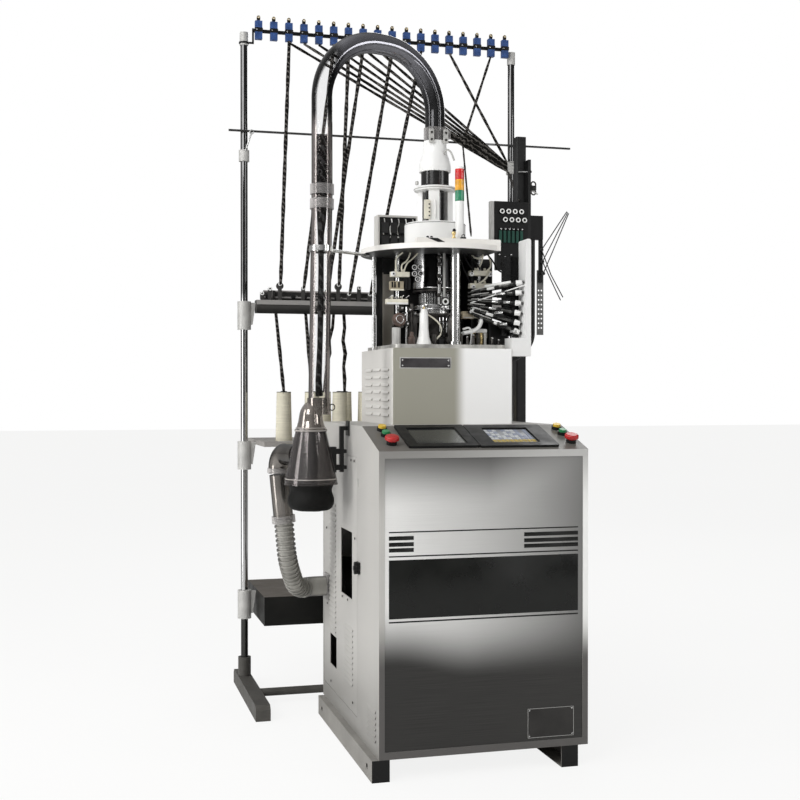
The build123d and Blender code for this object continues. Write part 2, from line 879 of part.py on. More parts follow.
# Clear bell: dome, straight cone, cylindrical rim and a side spigot for the elbow
nozzle_line = Vector(elbow_x - bell_x, elbow_y - bell_y, 0)
nozzle = Plane(origin=spot(bell_x, bell_y, elbow_z), z_dir=nozzle_line)
nozzle_length = 86
with BuildPart() as bell_jar:
    for inset, mode in ((0, Mode.ADD), (bell_wall, Mode.SUBTRACT)):
        with BuildSketch(elevation(bell_y)):
            with BuildLine():
                Polyline(
                    (bell_x, bell_rim[1]),
                    (bell_x + bell_rim[0] - inset, bell_rim[1]),
                    (bell_x + bell_rim[0] - inset, bell_rim[1] + 12),
                    (bell_x + bell_ring[0] - inset, bell_ring[1]),
                )
                Spline(
                    (bell_x + bell_ring[0] - inset, bell_ring[1]),
                    (bell_x + bell_shoulder[0] - inset, bell_shoulder[1]),
                    (bell_x + bell_dome[0] - inset, bell_dome[1]),
                    (bell_x, dome_top - inset),
                    tangents=((-0.3, 1), (-1, 0)),
                )
                Line((bell_x, dome_top - inset), (bell_x, bell_rim[1]))
            make_face()
        revolve(axis=Axis(spot(bell_x, bell_y), (0, 0, 1)), mode=mode)
        with BuildSketch(plan(neck_foot + inset)):
            with Locations(bell_entry[:2]):
                Circle(bell_neck_radius - inset / 2)
        extrude(amount=bell_top - neck_foot - inset, mode=mode)
        with BuildSketch(nozzle):
            Circle(duct_radius - fit_gap - inset)
        extrude(amount=nozzle_length + inset, mode=mode)
        if mode == Mode.ADD:
            with BuildSketch(plan(bell_ring[1] - 5)):
                with Locations((bell_x, bell_y)):
                    Circle(bell_ring[0] + 3)
            extrude(amount=8)
            with BuildSketch(plan(bell_rim[1])):
                with Locations((bell_x, bell_y)):
                    Circle(bell_rim[0] + 2)
            extrude(amount=4)
bell_jar.part.label = "bell_jar"
export_step(bell_jar.part, "parts/bell_jar.step")

# Filter cone inside the bell, open at both ends
filter_low = bell_rim[0] - bell_wall - 6
filter_high = bell_ring[0] - bell_wall - 2
with BuildPart() as bell_filter:
    with BuildSketch(elevation(bell_y)):
        with BuildLine():
            Polyline(
                (bell_x + filter_low, bell_rim[1] + 6),
                (bell_x + filter_high, bell_ring[1] - 2),
                (bell_x + filter_high - filter_wall, bell_ring[1] - 2),
                (bell_x + filter_low - filter_wall, bell_rim[1] + 6),
                close=True,
            )
        make_face()
    revolve(axis=Axis(spot(bell_x, bell_y), (0, 0, 1)))
bell_filter.part.label = "bell_filter"
export_step(bell_filter.part, "parts/bell_filter.step")

# Black rubber boot with eight soft corners, flanged into the rim
with BuildPart() as bell_boot:
    with BuildSketch(plan(bell_rim[1])):
        with Locations((bell_x, bell_y)):
            Circle(bell_rim[0] - bell_wall - fit_gap)
    extrude(amount=6)
    for low, low_radius, high, high_radius in (
        (bell_rim[1] - 24, boot_bulge, bell_rim[1], boot_neck),
        (bell_rim[1] - boot_height + 26, boot_bulge, bell_rim[1] - 24, boot_bulge),
        (bell_rim[1] - boot_height, boot_bulge - 26, bell_rim[1] - boot_height + 26, boot_bulge),
    ):
        with BuildSketch(plan(low)):
            with Locations((bell_x, bell_y)):
                RegularPolygon(low_radius, 8, rotation=22.5)
        with BuildSketch(plan(high)):
            with Locations((bell_x, bell_y)):
                RegularPolygon(high_radius, 8, rotation=22.5)
        loft(ruled=True)
bell_boot.part.label = "bell_boot"
export_step(bell_boot.part, "parts/bell_boot.step")

# Black fittings on the cabinet's left: bell bracket and latch plate
with BuildPart() as side_fittings:
    with BuildSketch(elevation(bell_y - 8)):
        span(bracket_x - 6, bracket_x + 6, bracket_bottom, bracket_top)
        span(bracket_x - 6, -4, bracket_top - 12, bracket_top)
        span(bell_x + 30, bracket_x, 872, 888)
        span(bell_x + 30, bracket_x, 824, 840)
    extrude(amount=-16)
    with BuildSketch(profile(-4)):
        span(bell_y - 20, bell_y + 20, bracket_top - 28, bracket_top + 16)
    extrude(amount=4)
    with BuildSketch(elevation(bell_y - 18)):
        span(bell_x + 30, bell_x + 74, 818, 894)
    extrude(amount=-36)
    with BuildSketch(profile(bracket_x + 6)):
        with Locations((bell_y, 880), (bell_y, 832)):
            Circle(6)
    extrude(amount=9)
    taper = (bell_rim[0] - bell_ring[0]) / (bell_ring[1] - bell_rim[1] - 12)
    with BuildSketch(elevation(bell_y)):
        with BuildLine():
            Polyline(
                (bell_x, bell_rim[1] + 12),
                (bell_x + bell_rim[0] + fit_gap, bell_rim[1] + 12),
                (bell_x + bell_ring[0] + fit_gap, bell_ring[1]),
                (bell_x, bell_ring[1]),
                close=True,
            )
        make_face()
    revolve(axis=Axis(spot(bell_x, bell_y), (0, 0, 1)), mode=Mode.SUBTRACT)
    # Plate and pin of the turn latch
    with BuildSketch(profile(0)):
        with Locations((latch_y, latch_z)):
            RectangleRounded(latch_plate[0], latch_plate[1], 4)
    extrude(amount=-latch_plate[2])
    with BuildSketch(profile(-latch_plate[2])):
        with Locations((latch_y, latch_z)):
            Circle(latch_pin / 2)
    extrude(amount=-latch_lever[2] - 2 * latch_gap)
    with BuildSketch(profile(-latch_plate[2] - latch_lever[2] - 2 * latch_gap)):
        with Locations((latch_y, latch_z)):
            Circle(latch_pin / 2 + 2)
    extrude(amount=-2)
side_fittings.part.label = "side_fittings"
export_step(side_fittings.part, "parts/side_fittings.step")

# Elbow behind the bell and the clear duct below it
with BuildPart() as elbow_pipe:
    with BuildLine() as elbow_path:
        FilletPolyline(
            nozzle.from_local_coords((0, 0, nozzle_length - 10)),
            spot(elbow_x, elbow_y, elbow_z),
            spot(elbow_x, elbow_y, collar_z - 30),
            radius=elbow_bend,
        )
    with BuildSketch(Plane(origin=elbow_path.line @ 0, z_dir=elbow_path.line % 0)):
        Circle(elbow_radius)
        Circle(duct_radius, mode=Mode.SUBTRACT)
    sweep()
    # The clear duct leans toward the cabinet, so it starts just clear of the elbow's end
    duct_line = Vector(*spot(*duct_foot)) - Vector(*spot(elbow_x, elbow_y, collar_z - 30))
    duct_gap = fit_gap + duct_radius * math.hypot(duct_line.X, duct_line.Y) / abs(duct_line.Z)
    duct_end = Plane(origin=spot(*duct_foot), z_dir=duct_line)
    with BuildSketch(duct_end):
        Circle(duct_radius - fit_gap)
        Circle(duct_radius - fit_gap - duct_wall, mode=Mode.SUBTRACT)
    extrude(amount=duct_gap - duct_line.length)
elbow_pipe.part.label = "elbow_pipe"
export_step(elbow_pipe.part, "parts/elbow_pipe.step")

# Ribbed suction hose from the duct to the cabinet port, with a smooth cuff
with BuildPart() as suction_hose:
    with BuildLine() as hose_path:
        FilletPolyline(
            duct_end.from_local_coords((0, 0, fit_gap)),
            spot(*hose_bends[0]),
            spot(*hose_bends[1], port_z),
            spot(hose_bends[2], port_y, port_z),
            spot(-8, port_y, port_z),
            radius=hose_bend_radii,
        )
    with BuildSketch(Plane(origin=hose_path.line @ 0, z_dir=hose_path.line % 0)):
        Circle(hose_core)
        Circle(hose_core - 2, mode=Mode.SUBTRACT)
    sweep()
    hose_length = hose_path.wire().length
    for rib in range(int((hose_length - cuff_length) / hose_rib_pitch)):
        reach = (rib + 0.6) * hose_rib_pitch / hose_length
        with BuildSketch(Plane(origin=hose_path.line @ reach, z_dir=hose_path.line % reach)):
            Circle(hose_radius)
            Circle(hose_core - 1, mode=Mode.SUBTRACT)
        extrude(amount=hose_rib / 2, both=True)
    cuff_path = hose_path.wire().trim(1 - cuff_length / hose_length, 1)
    with BuildSketch(Plane(origin=cuff_path @ 0, z_dir=cuff_path % 0)):
        Circle(hose_radius + 1)
        Circle(hose_core - 1, mode=Mode.SUBTRACT)
    sweep(path=cuff_path)
suction_hose.part.label = "suction_hose"
export_step(suction_hose.part, "parts/suction_hose.step")

# Pipe fittings: ring clamp on the tower and coupling between the two pipes
with BuildPart() as pipe_fittings:
    with BuildSketch(plan(cone_z + cone_height)):
        with Locations((knit_x, knit_y)):
            Circle(pipe_radius + 4)
            Circle(pipe_radius + fit_gap, mode=Mode.SUBTRACT)
    extrude(amount=42)
    with BuildSketch(plan(cone_z + cone_height + 8)):
        with Locations((knit_x + pipe_radius + 8, knit_y - 12)):
            Rectangle(12, 20)
            with Locations((0, 0)):
                Circle(2, mode=Mode.SUBTRACT)
    extrude(amount=26)
    for half in (plan(coupling_z), Plane(origin=spot(0, 0, coupling_z), z_dir=drop_line)):
        with BuildSketch(half):
            with Locations(half.to_local_coords(Vector(*spot(*arch_end)))):
                Circle(coupling_radius)
                Circle(pipe_radius + fit_gap, mode=Mode.SUBTRACT)
        extrude(amount=coupling_height / 2)
    # Rings on the suction line and the flanged port on the side panel
    for ring_base, ring_height, bore in (
        (Plane(origin=spot(elbow_x, elbow_y, collar_z - 28)), 14, elbow_radius),
        (duct_end.offset(-8), 22, duct_radius),
    ):
        with BuildSketch(ring_base):
            Circle(elbow_radius + 3.5)
            Circle(bore + fit_gap, mode=Mode.SUBTRACT)
        extrude(amount=ring_height)
    with BuildSketch(profile(0)):
        with Locations((port_y, port_z)):
            RectangleRounded(76, 84, 8)
            Circle(duct_radius - 5, mode=Mode.SUBTRACT)
    extrude(amount=-7)
pipe_fittings.part.label = "pipe_fittings"
export_step(pipe_fittings.part, "parts/pipe_fittings.step")

# Suction fan inside the cabinet: drum casing on a stand, with its motor behind
fan_casing_x = 30
with BuildPart() as fan_housing:
    with BuildSketch(profile(fan_casing_x)):
        with Locations((fan_y, port_z)):
            Circle(fan_radius)
    extrude(amount=fan_width)
    with BuildSketch(profile(fan_casing_x + 3)):
        with Locations((fan_y, port_z)):
            Circle(fan_radius - 3)
    extrude(amount=fan_width - 6, mode=Mode.SUBTRACT)
    with BuildSketch(profile(sheet + fit_gap)):
        with Locations((port_y, port_z)):
            Circle(duct_radius + 3)
    extrude(amount=fan_casing_x - sheet - fit_gap)
    with BuildSketch(profile(sheet + fit_gap)):
        with Locations((port_y, port_z)):
            Circle(duct_radius)
    extrude(amount=fan_casing_x - sheet + 3, mode=Mode.SUBTRACT)
    with BuildSketch(profile(fan_casing_x + fan_width)):
        with Locations((fan_y, port_z)):
            Circle(46)
    extrude(amount=96)
    with BuildSketch(profile(fan_casing_x + fan_width - 3)):
        with Locations((fan_y, port_z)):
            Circle(8 + shaft_gap)
    extrude(amount=40, mode=Mode.SUBTRACT)
    with BuildSketch(elevation(fan_y - 40)):
        span(fan_casing_x, fan_casing_x + fan_width, skid_height + sheet, port_z - fan_radius + 12)
        span(fan_casing_x + 6, fan_casing_x + fan_width - 6, 90, port_z - fan_radius - 16, mode=Mode.SUBTRACT)
    extrude(amount=-80)
fan_housing.part.label = "fan_housing"
export_step(fan_housing.part, "parts/fan_housing.step")

with BuildPart() as fan_wheel:
    with BuildSketch(profile(fan_casing_x + 8)):
        with Locations((fan_y, port_z)):
            Circle(fan_radius - 12)
            Circle(fan_radius - 52, mode=Mode.SUBTRACT)
    extrude(amount=2)
    with BuildSketch(profile(fan_casing_x + fan_width - 10)):
        with Locations((fan_y, port_z)):
            Circle(fan_radius - 12)
    extrude(amount=3)
    with BuildSketch(profile(fan_casing_x + 10)):
        with Locations((fan_y, port_z)):
            with PolarLocations(fan_radius - 32, 12):
                Rectangle(36, 2.5, rotation=24)
    extrude(amount=fan_width - 20)
    with BuildSketch(profile(fan_casing_x + fan_width - 10)):
        with Locations((fan_y, port_z)):
            Circle(8)
    extrude(amount=44)
fan_wheel.part.label = "fan_wheel"
export_step(fan_wheel.part, "parts/fan_wheel.step")

# Knitting drive inside the head box
with BuildPart() as drive_motor:
    with BuildSketch(plan(deck_height)):
        with Locations(motor_place):
            Circle(motor_radius)
    extrude(amount=motor_height)
    with BuildSketch(plan(deck_height)):
        with Locations(motor_place):
            Rectangle(2 * motor_radius, 2 * motor_radius)
    extrude(amount=8)
    with BuildSketch(plan(deck_height + motor_height - 40)):
        with Locations(motor_place):
            Circle(motor_shaft_radius + shaft_gap)
    extrude(amount=40, mode=Mode.SUBTRACT)
drive_motor.part.label = "drive_motor"
export_step(drive_motor.part, "parts/drive_motor.step")

with BuildPart() as motor_pulley:
    with BuildSketch(plan(deck_height + motor_height - 38)):
        with Locations(motor_place):
            Circle(motor_shaft_radius)
    extrude(amount=pulley_z - deck_height - motor_height + 38)
    with BuildSketch(plan(pulley_z)):
        with Locations(motor_place):
            Circle(motor_pulley_radius)
    extrude(amount=pulley_width)
motor_pulley.part.label = "motor_pulley"
export_step(motor_pulley.part, "parts/motor_pulley.step")

with BuildPart() as drive_belt:
    with BuildSketch(plan(pulley_z + 2)):
        with Locations((knit_x, knit_y)):
            Circle(cylinder_pulley_radius + fit_gap + belt_thickness)
        with Locations(motor_place):
            Circle(motor_pulley_radius + fit_gap + belt_thickness)
        make_hull()
    extrude(amount=pulley_width - 4)
    with BuildSketch(plan(pulley_z + 2)):
        with Locations((knit_x, knit_y)):
            Circle(cylinder_pulley_radius + fit_gap)
        with Locations(motor_place):
            Circle(motor_pulley_radius + fit_gap)
        make_hull()
    extrude(amount=pulley_width - 4, mode=Mode.SUBTRACT)
drive_belt.part.label = "drive_belt"
export_step(drive_belt.part, "parts/drive_belt.step")

# Stack light on the top plate
with BuildPart() as light_pole:
    with BuildSketch(plan(plate_top)):
        with Locations(light_place):
            Circle(light_pole_radius)
    extrude(amount=light_pole_height)
    with BuildSketch(plan(plate_top)):
        with Locations(light_place):
            Circle(light_pole_radius + 2)
    extrude(amount=5)
    with BuildSketch(plan(plate_top + light_pole_height + 3 * lens_height)):
        with Locations(light_place):
            Circle(lens_radius - 1)
    extrude(amount=7)
    fillet(light_pole.edges().filter_by(GeomType.CIRCLE).group_by(Axis.Z)[-1], 3)
light_pole.part.label = "light_pole"
export_step(light_pole.part, "parts/light_pole.step")

for step, lens_name in enumerate(("light_green", "light_amber", "light_red")):
    with BuildPart() as lens:
        with BuildSketch(plan(plate_top + light_pole_height + step * lens_height)):
            with Locations(light_place):
                Circle(lens_radius)
        extrude(amount=lens_height)
        chamfer(lens.edges().filter_by(GeomType.CIRCLE), 0.8)
    lens.part.label = lens_name
    export_step(lens.part, "parts/" + lens_name + ".step")

# White bracket on the right of the head box
bracket_left = head_left + head_width
bracket_front = 340
bracket_depth = 64
with BuildPart() as side_bracket:
    with BuildSketch(elevation(bracket_front)):
        span(bracket_left, bracket_left + 63, 1168, 1224)
        span(bracket_left + 46, bracket_left + 63, 1168, 1530)
    extrude(amount=-bracket_depth)
    fillet(side_bracket.edges().filter_by(Axis.Y).group_by(Axis.Z)[-1], 6)
side_bracket.part.label = "side_bracket"
export_step(side_bracket.part, "parts/side_bracket.step")

# Framed valve block behind the tower
with BuildPart() as valve_block:
    with BuildSketch(plan(plate_top)):
        span(156, 291, 640, 690)
    extrude(amount=125)
    with BuildSketch(elevation(640)):
        span(162, 285, plate_top + 6, plate_top + 119)
    extrude(amount=-6, mode=Mode.SUBTRACT)
    with BuildSketch(elevation(646)):
        with Locations((224, plate_top + 40), (224, plate_top + 84)):
            with GridLocations(29, 40, 4, 1):
                Rectangle(22, 34)
    extrude(amount=10)
valve_block.part.label = "valve_block"
export_step(valve_block.part, "parts/valve_block.step")

# Yarn finger cylinders: valve-like blocks with two hose stubs and a finger
finger_blocks_at = (
    (182, 462, 1414, 60),
    (172, 462, 1330, 70),
    (444, 462, 1424, 74),
    (444, 462, 1384, 74),
    (444, 462, 1290, 60),
    (440, 462, 1228, 50),
)
with BuildPart() as finger_blocks:
    for x, y, z, length in finger_blocks_at:
        with BuildSketch(plan(z)):
            with Locations((x, y)):
                RectangleRounded(length, 22, 4)
        extrude(amount=15)
        with BuildSketch(plan(z + 15)):
            with Locations((x, y)):
                with GridLocations(length / 2.4, 1, 2, 1):
                    Circle(4)
        extrude(amount=9)
    with Locations(*[spot(x, y, 1455) for x, y in slim_columns[3:]]):
        Cylinder(slim_column_radius + fit_gap, 600, mode=Mode.SUBTRACT)
finger_blocks.part.label = "finger_blocks"
export_step(finger_blocks.part, "parts/finger_blocks.step")

# Feeder tubes that fan out from the needles to the right bracket, with their carrier plate
with BuildPart() as feeder_tubes:
    with BuildSketch(elevation(bracket_front + bracket_depth)):
        span(bracket_left - 10, bracket_left + 63, 1232, 1480)
    extrude(amount=-4)
    for step, (far_z, near_z) in enumerate(
        ((1398, 1368), (1366, 1356), (1332, 1344), (1300, 1332), (1268, 1320), (1240, 1308))
    ):
        far = spot(bracket_left + 43.7, bracket_front + 10 + 5 * step, far_z)
        near = spot(396, 436 + step / 2, near_z)
        rod(near, far, 4)
        line = Vector(*far) - Vector(*near)
        rod(tuple(Vector(*near) + line * 0.55), tuple(Vector(*near) + line * 0.8), 7)
feeder_tubes.part.label = "feeder_tubes"
export_step(feeder_tubes.part, "parts/feeder_tubes.step")

# Black post with the feeder block, flat bar, sensor box and the carrier of the arms
with BuildPart() as feeder_post:
    with BuildSketch(plan(post_bottom)):
        span(post_x, post_x + post_size, post_y, post_y + post_size)
    extrude(amount=post_top - post_bottom)
    chamfer(feeder_post.edges().filter_by(Axis.Z), 3)
    with BuildSketch(profile(cabinet_width)):
        for bracket_z in (post_bottom + 40, deck_height - 90):
            span(post_y + 4, post_y + post_size - 4, bracket_z, bracket_z + 50)
    extrude(amount=post_x - cabinet_width)
    with BuildSketch(plan(1285)):
        span(flat_bar[0], flat_bar[0] + flat_bar[1], post_y - flat_bar[2], post_y)
    extrude(amount=560)
    # Dark cable conduit from the sensor box to the head box
    conduit_x = flat_bar[0] + flat_bar[1] + 9.3
    with BuildLine() as conduit_path:
        FilletPolyline(
            spot(conduit_x, 702, 1574.8),
            spot(conduit_x, 702, 1226),
            spot(640, 668, 1168),
            spot(572, 640, 1160),
            spot(bracket_left + 0.2, 640, 1160),
            radius=60,
        )
    with BuildSketch(Plane(origin=conduit_path.line @ 0, z_dir=conduit_path.line % 0)):
        Circle(9)
    sweep()
feeder_post.part.label = "feeder_post"
export_step(feeder_post.part, "parts/feeder_post.step")

arm_bar_x = 738
arm_pivots = (1541, 1500, 1459)
arm_layer = 8
with BuildPart() as feeder_block:
    bar_right = flat_bar[0] + flat_bar[1]
    with BuildSketch(elevation(post_y - flat_bar[2])):
        span(feeder_left, flat_bar[0], feeder_bottom, feeder_top)
        span(feeder_left + 8, flat_bar[0], feeder_bottom - 78, feeder_bottom - 6)
        span(feeder_left + 30, flat_bar[0], feeder_bottom - 6, feeder_bottom)
    extrude(amount=-flat_bar[2])
    with BuildSketch(elevation(post_y - flat_bar[2])):
        for row in range(2):
            for column in range(4):
                with Locations((feeder_left + 26 + 23 * column + 11 * row, feeder_top - 34 - 28 * row)):
                    Circle(8)
                    Circle(3.5, mode=Mode.SUBTRACT)
        with Locations((feeder_left + 58, feeder_bottom + 34)):
            with GridLocations(15, 10, 6, 1):
                Rectangle(9, 40)
    extrude(amount=6)
    with BuildSketch(plan(1575)):
        span(bar_right, 748, post_y - flat_bar[2], post_y - 3)
    extrude(amount=81)
    with BuildSketch(plan(1430)):
        span(arm_bar_x, arm_bar_x + 12, 698, 710)
    extrude(amount=145)
    for step, pivot_z in enumerate(arm_pivots):
        with BuildSketch(elevation(698)):
            with Locations((arm_bar_x + 6, pivot_z)):
                Circle(2.9)
        extrude(amount=arm_layer * (step + 1) + 1)
    with BuildSketch(elevation(710)):
        span(arm_bar_x - 5, arm_bar_x + 19, 1252, 1473)
        with Locations((arm_bar_x + 7, 1340)):
            with GridLocations(10, 16, 2, 9):
                Circle(3, mode=Mode.SUBTRACT)
    extrude(amount=-2)
feeder_block.part.label = "feeder_block"
export_step(feeder_block.part, "parts/feeder_block.step")

# Take-up arms: each a hub with a wire to the common tip, and a bent tail
for step, pivot_z in enumerate(arm_pivots):
    with BuildPart() as arm:
        layer_y = 698 - arm_layer * step - arm_layer / 2
        with BuildSketch(elevation(layer_y + 2.5)):
            with Locations((arm_bar_x + 6, pivot_z)):
                Circle(6)
                Circle(3, mode=Mode.SUBTRACT)
        extrude(amount=5)
        tip = spot(836, layer_y, 1674 - 4 * step)
        hub = Vector(*spot(arm_bar_x + 6, layer_y, pivot_z))
        reach = (Vector(*tip) - hub).normalized()
        rod(tuple(hub + reach * 5), tip, 1.8)
        if step < 2:
            knee = spot(778 + 8 * step, layer_y, pivot_z - 84)
            tail = (Vector(*knee) - hub).normalized()
            rod(tuple(hub + tail * 5), knee, 1.8)
            rod(knee, spot(822 - 12 * step, layer_y, pivot_z - 160 + 30 * step), 1.8)
            with Locations(knee):
                Sphere(1.8)
    arm.part.label = "take_up_arm_" + str(step + 1)
    export_step(arm.part, "parts/take_up_arm_" + str(step + 1) + ".step")

# Creel poles with the long guide rod in front of them
rod_y = pole_y - pole_radius - rod_radius
with BuildPart() as creel_poles:
    with BuildSketch(plan(foot_height + 4)):
        with Locations((left_pole_x, pole_y), (right_pole_x, pole_y)):
            Circle(pole_radius)
    extrude(amount=pole_top - foot_height - 4)

    with BuildSketch(profile(rod_end - 2 * (rod_end + cabinet_left_x))):
        with Locations((rod_y, rod_z)):
            Circle(rod_radius)
    extrude(amount=2 * (rod_end + cabinet_left_x))
creel_poles.part.label = "creel_poles"
export_step(creel_poles.part, "parts/creel_poles.step")

# Creel feet with sockets, tied by a round bar and linked to the machine's skids
with BuildPart() as creel_base:
    for foot_x in (left_pole_x, right_pole_x):
        with BuildSketch(profile(foot_x - foot_width / 2)):
            span(foot_front, foot_back, 0, foot_height)
        extrude(amount=foot_width)
    chamfer(creel_base.edges().filter_by(Axis.X).group_by(Axis.Z)[-1], 14)
    with BuildSketch(plan(foot_height)):
        with Locations((left_pole_x, pole_y), (right_pole_x, pole_y)):
            Circle(socket_radius)
    extrude(amount=socket_top - foot_height)
    with BuildSketch(plan(foot_height + 4)):
        with Locations((left_pole_x, pole_y), (right_pole_x, pole_y)):
            Circle(pole_radius)
    extrude(amount=socket_top, mode=Mode.SUBTRACT)
    with BuildSketch(profile(left_pole_x)):
        with Locations((tie_bar_y, foot_height - tie_bar_radius - 0.5)):
            Circle(tie_bar_radius)
    extrude(amount=right_pole_x - left_pole_x)
    with BuildSketch(plan(foot_height - tie_bar_radius - 4)):
        for link_x in (80, 460):
            span(link_x, link_x + 40, cross_bar_places[1] + cross_bar / 2, tie_bar_y)
    extrude(amount=8)
creel_base.part.label = "creel_base"
export_step(creel_base.part, "parts/creel_base.step")

# Light grey clamps on the poles: shelf sleeves with their wedges, rod clips and pole caps
shelf_tops = (tray_top, cone_shelf_top, guide_shelf_top)
with BuildPart() as creel_clamps:
    for pole_x, inward in ((left_pole_x, 1), (right_pole_x, -1)):
        for shelf_top in shelf_tops:
            with BuildSketch(plan(shelf_top - clamp_drop - clamp_height)):
                with Locations((pole_x, pole_y)):
                    Circle(clamp_radius)
                    Circle(pole_radius, mode=Mode.SUBTRACT)
            extrude(amount=clamp_height)
            with BuildSketch(elevation(pole_y - 8)):
                with BuildLine():
                    Polyline(
                        (pole_x + inward * (clamp_radius - 2), shelf_top - clamp_drop - 82),
                        (pole_x + inward * (clamp_radius + 5), shelf_top - clamp_drop - 82),
                        (pole_x + inward * clamp_reach, shelf_top - clamp_drop - 4),
                        (pole_x + inward * (clamp_radius - 2), shelf_top - clamp_drop - 4),
                        close=True,
                    )
                make_face()
            extrude(amount=-16)
        with BuildSketch(plan(rod_z - 106)):
            with Locations((pole_x, pole_y)):
                Circle(pole_radius + 6)
                Circle(pole_radius, mode=Mode.SUBTRACT)
        extrude(amount=40)
        with BuildSketch(plan(pole_top)):
            with Locations((pole_x, pole_y)):
                Circle(cap_radius)
        extrude(amount=6)
        with BuildSketch(plan(pole_top - cap_height + 6)):
            with Locations((pole_x, pole_y)):
                Circle(cap_radius)
                Circle(pole_radius, mode=Mode.SUBTRACT)
        extrude(amount=cap_height)
creel_clamps.part.label = "creel_clamps"
export_step(creel_clamps.part, "parts/creel_clamps.step")

# Guide shelf: folded channel with eyelet posts and two thin rods
shelf_left = left_pole_x + clamp_reach
shelf_right = right_pole_x - clamp_reach
guide_posts = ((-150, 30), (-122, 47), (-86, 64), (-2, 52), (85, 44), (126, 66), (165, 34))
guide_posts += ((203, 57), (242, 34), (300, 64), (370, 44), (440, 64), (520, 44), (600, 64))
with BuildPart() as guide_shelf:
    guide_bottom = guide_shelf_top - guide_shelf_height
    with BuildSketch(profile(shelf_left)):
        span(guide_front, guide_back, guide_shelf_top - 3, guide_shelf_top)
        span(guide_front, guide_front + 3, guide_bottom, guide_shelf_top)
        span(guide_front - 2, guide_front, guide_shelf_top - guide_lip, guide_shelf_top)
        span(guide_back - 3, guide_back, guide_bottom, guide_shelf_top)
    extrude(amount=shelf_right - shelf_left)
    for end_x in (shelf_left, shelf_right - 3):
        with BuildSketch(profile(end_x)):
            span(guide_front, guide_back, guide_bottom, guide_shelf_top)
        extrude(amount=3)
    for post, height in guide_posts:
        with BuildSketch(elevation(guide_front + 8)):
            with Locations((post, guide_shelf_top + height / 2)):
                SlotOverall(height, guide_post_width, rotation=90)
            span(post - 5, post + 5, guide_shelf_top, guide_shelf_top + height / 2)
            if height > 60:
                with Locations((post, guide_shelf_top + height - guide_post_width)):
                    Circle(guide_post_width)
        extrude(amount=-8)
        with BuildSketch(elevation(guide_front + 8)):
            with Locations((post, guide_shelf_top + height - 7)):
                Circle(5.5)
                Circle(2.5, mode=Mode.SUBTRACT)
        extrude(amount=5)
    for thin_z, thin_y in ((34, 30), (12, 34)):
        with BuildSketch(profile(shelf_left + 30)):
            with Locations((guide_front + thin_y, guide_shelf_top + thin_z)):
                Circle(3)
        extrude(amount=shelf_right - shelf_left - 60)
    for stand_x in (shelf_left + 60, (shelf_left + shelf_right) / 2, shelf_right - 70):
        with BuildSketch(plan(guide_shelf_top)):
            span(stand_x, stand_x + 8, guide_front + 24, guide_back - 4)
        extrude(amount=36)
    # Upright backing strip behind the thin rods
    with BuildSketch(plan(guide_shelf_top)):
        span(shelf_left + 30, shelf_right - 30, guide_back - 5, guide_back - 3)
    extrude(amount=38)
guide_shelf.part.label = "guide_shelf"
export_step(guide_shelf.part, "parts/guide_shelf.step")

# Cone shelf and the deep lower tray
with BuildPart() as creel_shelves:
    with BuildSketch(plan(cone_shelf_top - cone_shelf_thickness)):
        span(shelf_left, shelf_right, shelf_front, shelf_back)
    extrude(amount=cone_shelf_thickness)
    with BuildSketch(plan(cone_shelf_top - cone_shelf_thickness)):
        span(shelf_left + 3, shelf_right - 3, shelf_front + 3, shelf_back - 3)
    extrude(amount=cone_shelf_thickness - 3, mode=Mode.SUBTRACT)
    with BuildSketch(plan(tray_top - tray_height)):
        span(shelf_left, shelf_right, shelf_front, shelf_back)
    extrude(amount=tray_height)
    with BuildSketch(plan(tray_top - tray_height)):
        span(shelf_left + 3, shelf_right - 3, shelf_front + 3, shelf_back - 3)
    extrude(amount=tray_height - 3, mode=Mode.SUBTRACT)
creel_shelves.part.label = "creel_shelves"
export_step(creel_shelves.part, "parts/creel_shelves.step")

# Yarn cones in two rows on the shelf
front_cones = [(-85 + 100 * step, 1034) for step in range(9)]
rear_cones = [(98 + 78 * step, 1232) for step in range(9)]
with BuildPart() as yarn_cones:
    with BuildSketch(plan(cone_shelf_top)):
        with Locations(*front_cones, *rear_cones):
            Circle(cone_radius)
            Circle(cone_bore, mode=Mode.SUBTRACT)
    extrude(amount=cone_tall, taper=math.degrees(math.atan2(cone_radius - cone_tip_radius, cone_tall)))
yarn_cones.part.label = "yarn_cones"
export_step(yarn_cones.part, "parts/yarn_cones.step")

# Top rail with the bent bracket at the left cap and the black tensioner fittings
tensioner_xs = [tensioner_first + tensioner_pitch * step for step in range(tensioner_count)]
rail_low = rail_z - rail_size / 2
with BuildPart() as tensioner_rail:
    with BuildSketch(profile(rail_left)):
        with Locations((pole_y - 8, rail_z)):
            Rectangle(6, rail_size)
    extrude(amount=rail_right - rail_left)
    with BuildSketch(elevation(pole_y - 11)):
        span(left_pole_x + cap_radius + 2, rail_left, pole_top - 34, pole_top - 28)
        span(rail_left - 6, rail_left, pole_top - 34, rail_z + 8)
        span(rail_right, right_pole_x - cap_radius, rail_z - 6, rail_z + 6)
    extrude(amount=-6)
    with BuildSketch(plan(pole_top - 34)):
        with Locations((left_pole_x, pole_y)):
            Circle(cap_radius + 3)
            Circle(cap_radius, mode=Mode.SUBTRACT)
    extrude(amount=6)
    for x in tensioner_xs:
        with BuildSketch(elevation(pole_y - 11)):
            with Locations((x, rail_z)):
                RectangleRounded(tensioner_width + 4, 15, 3)
        extrude(amount=tensioner_depth - 12)
        with BuildSketch(elevation(pole_y - 16)):
            with Locations((x, rail_z + 7.5 + 24 + 10)):
                SlotOverall(20, 12, rotation=90)
                with Locations((0, 4)):
                    Circle(3, mode=Mode.SUBTRACT)
        extrude(amount=6)
